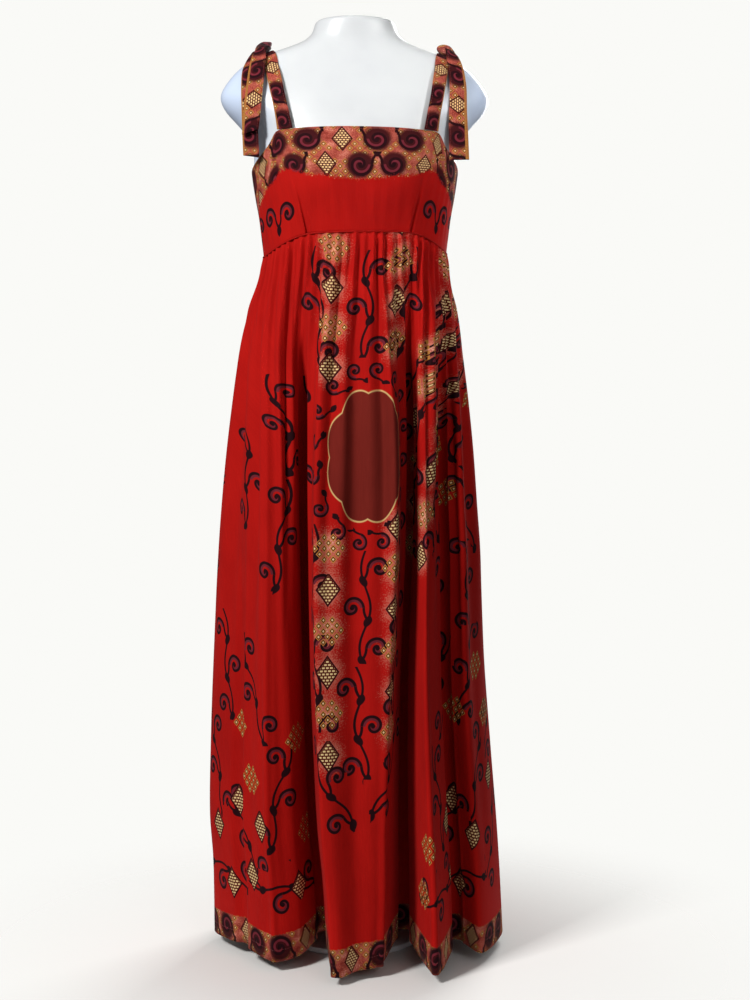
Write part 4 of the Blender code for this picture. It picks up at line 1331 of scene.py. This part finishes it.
tieShape = {
    # x, y and z of the middle, width, turn of the width about Z, drop across the width
    "strapFront": (
        (0.1040, -0.0805, 1.1765, 0.0262, 35, 0.00), (0.1080, -0.0770, 1.2000, 0.0232, 31, 0.00),
        (0.1140, -0.0690, 1.2290, 0.0215, 25, 0.04), (0.1200, -0.0540, 1.2600, 0.0210, 18, 0.15),
        (0.1255, -0.0320, 1.2860, 0.0205, 10, 0.32), (0.1290, -0.0120, 1.2980, 0.0180, 4, 0.45),
        (0.1300, -0.0002, 1.3000, 0.0170, 0, 0.48),
    ),
    "strapBack": (
        (0.1030, 0.0720, 1.1488, 0.0262, -31, 0.00), (0.1060, 0.0765, 1.1850, 0.0230, -28, 0.00),
        (0.1110, 0.0745, 1.2200, 0.0215, -24, 0.04), (0.1180, 0.0600, 1.2560, 0.0210, -16, 0.15),
        (0.1250, 0.0330, 1.2860, 0.0205, -8, 0.32), (0.1290, 0.0120, 1.2980, 0.0180, -3, 0.45),
        (0.1300, 0.0002, 1.3000, 0.0170, 0, 0.48),
    ),
    "leftFront": (
        (0.1365, -0.0150, 1.3075, 0.0110, 4, 0.40), (0.1405, -0.0270, 1.2960, 0.0190, 8, 0.25),
        (0.1438, -0.0410, 1.2740, 0.0245, 14, 0.10), (0.1460, -0.0520, 1.2450, 0.0270, 20, 0.02),
        (0.1450, -0.0590, 1.2100, 0.0280, 16, 0.00), (0.1455, -0.0610, 1.1750, 0.0288, 8, 0.00),
        (0.1465, -0.0620, 1.1380, 0.0290, 2, -0.06),
    ),
    "leftBack": (
        (0.1365, 0.0150, 1.3075, 0.0110, -4, 0.40), (0.1405, 0.0280, 1.2950, 0.0190, -8, 0.25),
        (0.1450, 0.0430, 1.2720, 0.0240, -14, 0.10), (0.1480, 0.0550, 1.2420, 0.0265, -20, 0.02),
        (0.1475, 0.0620, 1.2080, 0.0280, -16, 0.00), (0.1460, 0.0640, 1.1740, 0.0280, -12, 0.05),
    ),
    "rightFront": (
        (-0.1365, -0.0146, 1.3075, 0.0110, -4, -0.40), (-0.1400, -0.0290, 1.2960, 0.0190, -8, -0.25),
        (-0.1430, -0.0450, 1.2720, 0.0240, -14, -0.10), (-0.1465, -0.0570, 1.2420, 0.0255, -20, -0.02),
        (-0.1500, -0.0635, 1.2080, 0.0255, -16, 0.00), (-0.1530, -0.0655, 1.1740, 0.0250, -12, -0.30),
    ),
    "rightBack": (
        (-0.1475, -0.0050, 1.3015, 0.0090, -50, -0.20), (-0.1530, -0.0190, 1.2880, 0.0150, -40, -0.30),
        (-0.1560, -0.0340, 1.2690, 0.0200, -30, -0.10), (-0.1560, -0.0470, 1.2420, 0.0225, -26, 0.00),
        (-0.1545, -0.0550, 1.2080, 0.0235, -22, 0.00), (-0.1530, -0.0580, 1.1740, 0.0240, -20, 0.00),
        (-0.1515, -0.0590, 1.1400, 0.0240, -16, 0.16),
    ),
    "columnCount": 10, "rowsAStretch": 10, "bow": 0.0016, "printStart": 0.013,
}


def ribbonRows(route):
    shape = tieShape
    keyed = [(float(index), *row) for index, row in enumerate(route)]
    rows = []
    for row in range((len(route) - 1) * shape["rowsAStretch"] + 1):
        x, y, z, width, turn, drop = smoothLookup(keyed, row / shape["rowsAStretch"])
        across = Vector((cos(radians(turn)), sin(radians(turn)), -drop)).normalized()
        outward = Vector((sin(radians(turn)), -cos(radians(turn)), 0.0))
        points = []
        for column in range(shape["columnCount"] + 1):
            share = 2.0 * column / shape["columnCount"] - 1.0
            bow = outward * shape["bow"] * (1 - share * share) * (1 if y < 0 else -1)
            points.append(laidOnForm(Vector((x, y, z)) + across * width / 2 * share + bow))
        rows.append(points)
    return rows


def facing(outward, point):  # 1 where the normal points away from the form's middle, else -1
    away = Vector((point.x * 0.3, point.y - dressOffset.y, point.z - 1.15))
    return 1 if outward.dot(away) > 0 else -1


def mirrored(route):
    return [(-x, y, z, width, -turn, -drop) for x, y, z, width, turn, drop in route]


def buildTies(material):
    ribbons = (
        ("strap_front_left", tieShape["strapFront"], "stretched"),
        ("strap_front_right", mirrored(tieShape["strapFront"]), "stretched"),
        ("strap_back_left", tieShape["strapBack"], "stretched"),
        ("strap_back_right", mirrored(tieShape["strapBack"]), "stretched"),
        ("tail_front_left", tieShape["leftFront"], "hung"),
        ("tail_back_left", tieShape["leftBack"], "hung"),
        ("tail_front_right", tieShape["rightFront"], "hung"),
        ("tail_back_right", tieShape["rightBack"], "hung"),
    )
    for name, route, held in ribbons:
        rows = placed(ribbonRows(route))
        sheet = gridObject(name.replace("_", ""), rows)
        down = rowLengths([row[tieShape["columnCount"] // 2] for row in rows])
        side = -1 if "right" in name else 1
        cloth = []
        for row, along in zip(rows, down):
            width = rowLengths(row)
            for across in width:
                v = bandShape["rowPitch"] / 2 + side * (across - width[-1] / 2)
                cloth.append((along + tieShape["printStart"], v))
        giveMap(sheet, "cloth", cloth)
        for fromFirst in (True, False):
            line = lineDown(rows, trimShape["tieAt"], fromFirst)
            line = [(point, outward * facing(outward, point)) for point, outward in line]
            stitchLines["tieStitches"].append(raised(line, tieThick / 2))
        applyModifier(sheet, "SOLIDIFY", thickness=tieThick, offset=0.0)
        applyModifier(sheet, "BEVEL", width=0.0005, segments=2, limit_method="ANGLE")
        sheet.data.shade_smooth()
        finishPiece(sheet, material, [name])


knotShape = {
    "centre": (0.1345, 0.0, 1.3087), "size": (0.0270, 0.0290, 0.0160), "tilt": radians(26),
    "lobes": 0.09, "wideCrease": 0.07, "narrowCrease": 0.06, "ripples": 0.018,  # as shares of the radius
}


def buildKnots(material):  # each knot is a ball of wrapped cloth with creases where the ties cross
    shape = knotShape
    for nodeName, side in (("knot_left", 1), ("knot_right", -1)):
        bpy.ops.object.select_all(action="DESELECT")
        bpy.ops.mesh.primitive_uv_sphere_add(segments=64, ring_count=40, radius=0.5)
        knot = bpy.context.object
        knot.name = nodeName.replace("_", "")
        for vertex in knot.data.vertices:
            direction = vertex.co.normalized()
            turn = atan2(direction.x, direction.y)
            wrap = direction.x * 0.8 + direction.z * 1.2
            crease = shape["lobes"] * cos(3 * turn + 4.0 * direction.z) * (1 - direction.z ** 2)
            wide = shape["wideCrease"] * exp(-((wrap - 0.25) / 0.07) ** 2)
            narrow = shape["narrowCrease"] * exp(-((wrap + 0.35) / 0.06) ** 2)
            crease -= wide + narrow
            crease += shape["ripples"] * sin(11 * direction.y + 5 * wrap)
            vertex.co = vertex.co * (1 + crease)
        tilt = Matrix.Rotation(shape["tilt"] * side, 4, "Y")
        middle = Vector((side * shape["centre"][0], *shape["centre"][1:])) + dressOffset
        knot.data.transform(Matrix.Translation(middle) @ tilt @ Matrix.Diagonal((*shape["size"], 1.0)))
        knot.data.shade_smooth()
        finishPiece(knot, material, [nodeName])


# piping, stitches and the zip's teeth

trimShape = {
    "pipingRadius": 0.0012, "pipingOut": 0.0006, "pipingSteps": 240,
    "stitchLong": 0.0026, "stitchPitch": 0.0038, "stitchThick": 0.00042,
    "topAt": 0.0035, "hemAt": 0.016, "tieAt": 0.0022,  # from the cloth's edge to the line of stitches
    "tooth": (0.0030, 0.0013, 0.0012), "toothPitch": 0.0021, "teethTop": 1.1340, "teethLow": 0.842,
}


def buildPiping(material):  # the thin corded edge that covers the waist seam
    shape = trimShape
    sides = 8
    cornerCount = sides * shape["pipingSteps"]
    verts = []
    faces = []
    for step in range(shape["pipingSteps"]):
        angle = tau * step / shape["pipingSteps"]
        outward = Vector((sin(angle), -cos(angle), 0.0))
        middle = bodicePoint(angle, waistHeight(angle)) + outward * shape["pipingOut"] + dressOffset
        for side in range(sides):
            turn = tau * side / sides
            spoke = outward * cos(turn) + Vector((0, 0, 1)) * sin(turn)
            verts.append(middle + spoke * shape["pipingRadius"])
            a = step * sides + side
            b = step * sides + (side + 1) % sides
            faces.append((a, b, (b + sides) % cornerCount, (a + sides) % cornerCount))
    mesh = bpy.data.meshes.new("waistPiping")
    mesh.from_pydata(verts, [], faces)
    mesh.shade_smooth()
    piping = bpy.data.objects.new("waistPiping", mesh)
    bpy.context.scene.collection.objects.link(piping)
    finishPiece(piping, material)


def copyAlong(pattern, name, places):  # places are (middle, along, outward); one joined mesh of copies
    joined = bmesh.new()
    for middle, along, outward in places:
        across = along.cross(outward).normalized()
        turned = Matrix((across, along, outward)).transposed().to_4x4()
        copied = pattern.data.copy()
        copied.transform(Matrix.Translation(middle) @ turned)
        joined.from_mesh(copied)
        bpy.data.meshes.remove(copied)
    mesh = bpy.data.meshes.new(name)
    joined.to_mesh(mesh)
    joined.free()
    mesh.shade_smooth()
    copies = bpy.data.objects.new(name, mesh)
    bpy.context.scene.collection.objects.link(copies)
    return copies


def stitchPlaces(line):  # line is a list of (point, outward)
    shape = trimShape
    places = []
    travelled = 0.0
    due = shape["stitchPitch"] / 2
    for (start, startOut), (finish, finishOut) in zip(line, line[1:]):
        span = (finish - start).length
        if span < 1e-6:
            continue
        while due <= travelled + span:
            share = (due - travelled) / span
            outward = startOut.lerp(finishOut, share).normalized()
            along = (finish - start).normalized()
            outward = (outward - along * outward.dot(along)).normalized()
            places.append((start.lerp(finish, share) + outward * 0.00012, along, outward))
            due += shape["stitchPitch"]
        travelled += span
    return places


def lineAcross(rows, distance, fromTop):  # a line that runs along the rows, so far from the top or the bottom
    ordered = rows if fromTop else rows[::-1]
    line = []
    for index in range(1, len(rows[0]) - 1):
        left = distance
        for before, after in zip(ordered, ordered[1:]):
            step = (after[index] - before[index]).length
            if step >= left:
                point = before[index].lerp(after[index], left / step)
                along = before[index + 1] - before[index - 1]
                down = (after[index] - before[index]) * (1 if fromTop else -1)
                line.append((point, down.cross(along).normalized()))
                break
            left -= step
    return line


def lineDown(rows, distance, fromFirst):  # a line that runs down the columns, so far from one side
    line = []
    for above, row, below in zip(rows, rows[1:], rows[2:]):
        ordered = row if fromFirst else row[::-1]
        left = distance
        for before, after in zip(ordered, ordered[1:]):
            step = (after - before).length
            if step >= left:
                middle = len(row) // 2
                along = row[middle + 1] - row[middle - 1]
                outward = (below[middle] - above[middle]).cross(along).normalized()
                line.append((before.lerp(after, left / step), outward))
                break
            left -= step
    return line


def raised(line, height):
    return [(point + outward * height, outward) for point, outward in line]


def buildStitches(lines, material):
    shape = trimShape
    for name, rows in lines.items():
        bpy.ops.object.select_all(action="DESELECT")
        bpy.ops.mesh.primitive_uv_sphere_add(segments=6, ring_count=5, radius=0.5)
        pattern = bpy.context.object
        size = Matrix.Diagonal((shape["stitchThick"], shape["stitchLong"], shape["stitchThick"], 1.0))
        turned = Matrix.Rotation(pi / 2, 4, "X")
        pattern.data.transform(size @ turned)
        places = [place for line in rows for place in stitchPlaces(line)]
        stitches = copyAlong(pattern, name, places)
        bpy.data.objects.remove(pattern)
        finishPiece(stitches, material)
        print(name, len(places), "stitches")


def buildZipTeeth(material):
    shape = trimShape
    bpy.ops.object.select_all(action="DESELECT")
    bpy.ops.mesh.primitive_cube_add(size=1.0)
    tooth = bpy.context.object
    tooth.data.transform(Matrix.Diagonal((*shape["tooth"], 1.0)))
    applyModifier(tooth, "BEVEL", width=0.0003, segments=2)
    places = []
    z = shape["teethTop"]
    side = 1
    while z > shape["teethLow"]:
        if z > waistHeight(pi):
            back = bodicePoint(pi, z)
        else:
            share = (waistHeight(pi) - z) / (waistHeight(pi) - skirtShape["hemHeight"])
            back = skirtBase(18.0, share)
        places.append((
            back + dressOffset + Vector((0.0003 * side, 0.0004, 0.0)), Vector((0, 0, 1)), Vector((0, 1, 0)),
        ))
        z -= shape["toothPitch"]
        side = -side
    teeth = copyAlong(tooth, "zipTeeth", places)
    bpy.data.objects.remove(tooth)
    teeth.data.shade_flat()
    finishPiece(teeth, material)


# stage, lights and camera

viewShape = {
    "distance": 2.4, "turn": radians(-4), "eye": 0.75, "sideStep": 0.0294, "lens": 58.8, "shiftY": -0.070,
}


def buildStage():
    bpy.ops.object.select_all(action="DESELECT")
    bpy.ops.mesh.primitive_circle_add(vertices=96, radius=1.8, fill_type="NGON", location=(0, 0, -0.0005))
    floor = bpy.context.object
    floor.name = "paleFloor"
    bpy.ops.object.transform_apply(location=True)
    floor.data.materials.append(floorMaterial())

    camera = bpy.data.objects.new("camera", bpy.data.cameras.new("camera"))
    bpy.context.scene.collection.objects.link(camera)
    turn = viewShape["turn"]
    forward = Vector((-sin(turn), cos(turn), 0.0))
    right = Vector((cos(turn), sin(turn), 0.0))
    place = dressOffset - forward * viewShape["distance"] + right * viewShape["sideStep"]
    camera.location = (place.x, place.y, viewShape["eye"])
    camera.rotation_euler = (pi / 2, 0.0, turn)
    camera.data.lens = viewShape["lens"]
    camera.data.shift_y = viewShape["shiftY"]
    bpy.context.scene.camera = camera

    for name, location, aim, size, watts, spread in (
        ("keyLight", (-1.75, -1.70, 2.30), (0.0, 0.0, 0.9), 0.6, 84.0, 180),
        ("fillLight", (1.1, -2.7, 1.9), (0.0, 0.0, 0.9), 1.4, 11.0, 180),
        ("shoulderLight", (1.5, -1.2, 1.75), (0.19, 0.0, 1.23), 0.5, 0.60, 24),
        ("backLight", (1.2, 2.1, 1.9), (0.0, 0.0, 0.7), 1.2, 60.0, 180),
    ):
        light = bpy.data.objects.new(name, bpy.data.lights.new(name, "AREA"))
        bpy.context.scene.collection.objects.link(light)
        light.location = location
        light.rotation_euler = (Vector(aim) - Vector(location)).to_track_quat("-Z", "Y").to_euler()
        light.data.size = size
        light.data.energy = watts
        light.data.spread = radians(spread)

    world = bpy.data.worlds.new("paleRoom")
    bpy.context.scene.world = world
    world.use_nodes = True
    tree = world.node_tree
    tree.nodes.clear()
    seen = addNode(tree, "ShaderNodeBackground")
    seen.inputs["Color"].default_value = srgb(250, 250, 247)
    light = addNode(tree, "ShaderNodeBackground")
    light.inputs["Color"].default_value = (0.96, 0.97, 1.0, 1.0)
    light.inputs["Strength"].default_value = 0.16
    rays = addNode(tree, "ShaderNodeLightPath")
    both = addNode(tree, "ShaderNodeMixShader")
    sink = addNode(tree, "ShaderNodeOutputWorld")
    tree.links.new(rays.outputs["Is Camera Ray"], both.inputs[0])
    tree.links.new(light.outputs[0], both.inputs[1])
    tree.links.new(seen.outputs[0], both.inputs[2])
    tree.links.new(both.outputs[0], sink.inputs[0])
    bpy.context.scene.view_settings.view_transform = "Standard"


# all together

buildStage()
print("stage, lights and camera are up")

groups = {"cotton": cottonGroup(), "volute": voluteGroup(), "vine": vineGroup(), "lozenge": lozengeGroup()}
groups["cluster"] = clusterGroup()
groups["band"] = bandGroup(groups)
print("node groups made")

buildBodice(bodiceMaterial(groups))
print("bodice made")
buildSkirt(skirtMaterial(groups, True), skirtMaterial(groups, False))
print("skirt made")
buildForm(plasticMaterial())
buildTies(tieMaterial(groups))
buildKnots(knotMaterial(groups))
print("form, ties and knots made")
buildPiping(pipingMaterial(groups))
buildStitches(stitchLines, threadMaterial("redThread", printColours["thread"]))

enamel = enamelMaterial()
for nodeName in ("stand_base", "stand_collar", "stand_pole"):
    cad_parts[nodeName].material_slots[0].material = enamel
metal = zipMaterial()
buildZipTeeth(metal)
for nodeName in ("zip_slider", "zip_pull"):
    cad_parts[nodeName].material_slots[0].material = metal
print("carried-over nodes have their finishes")
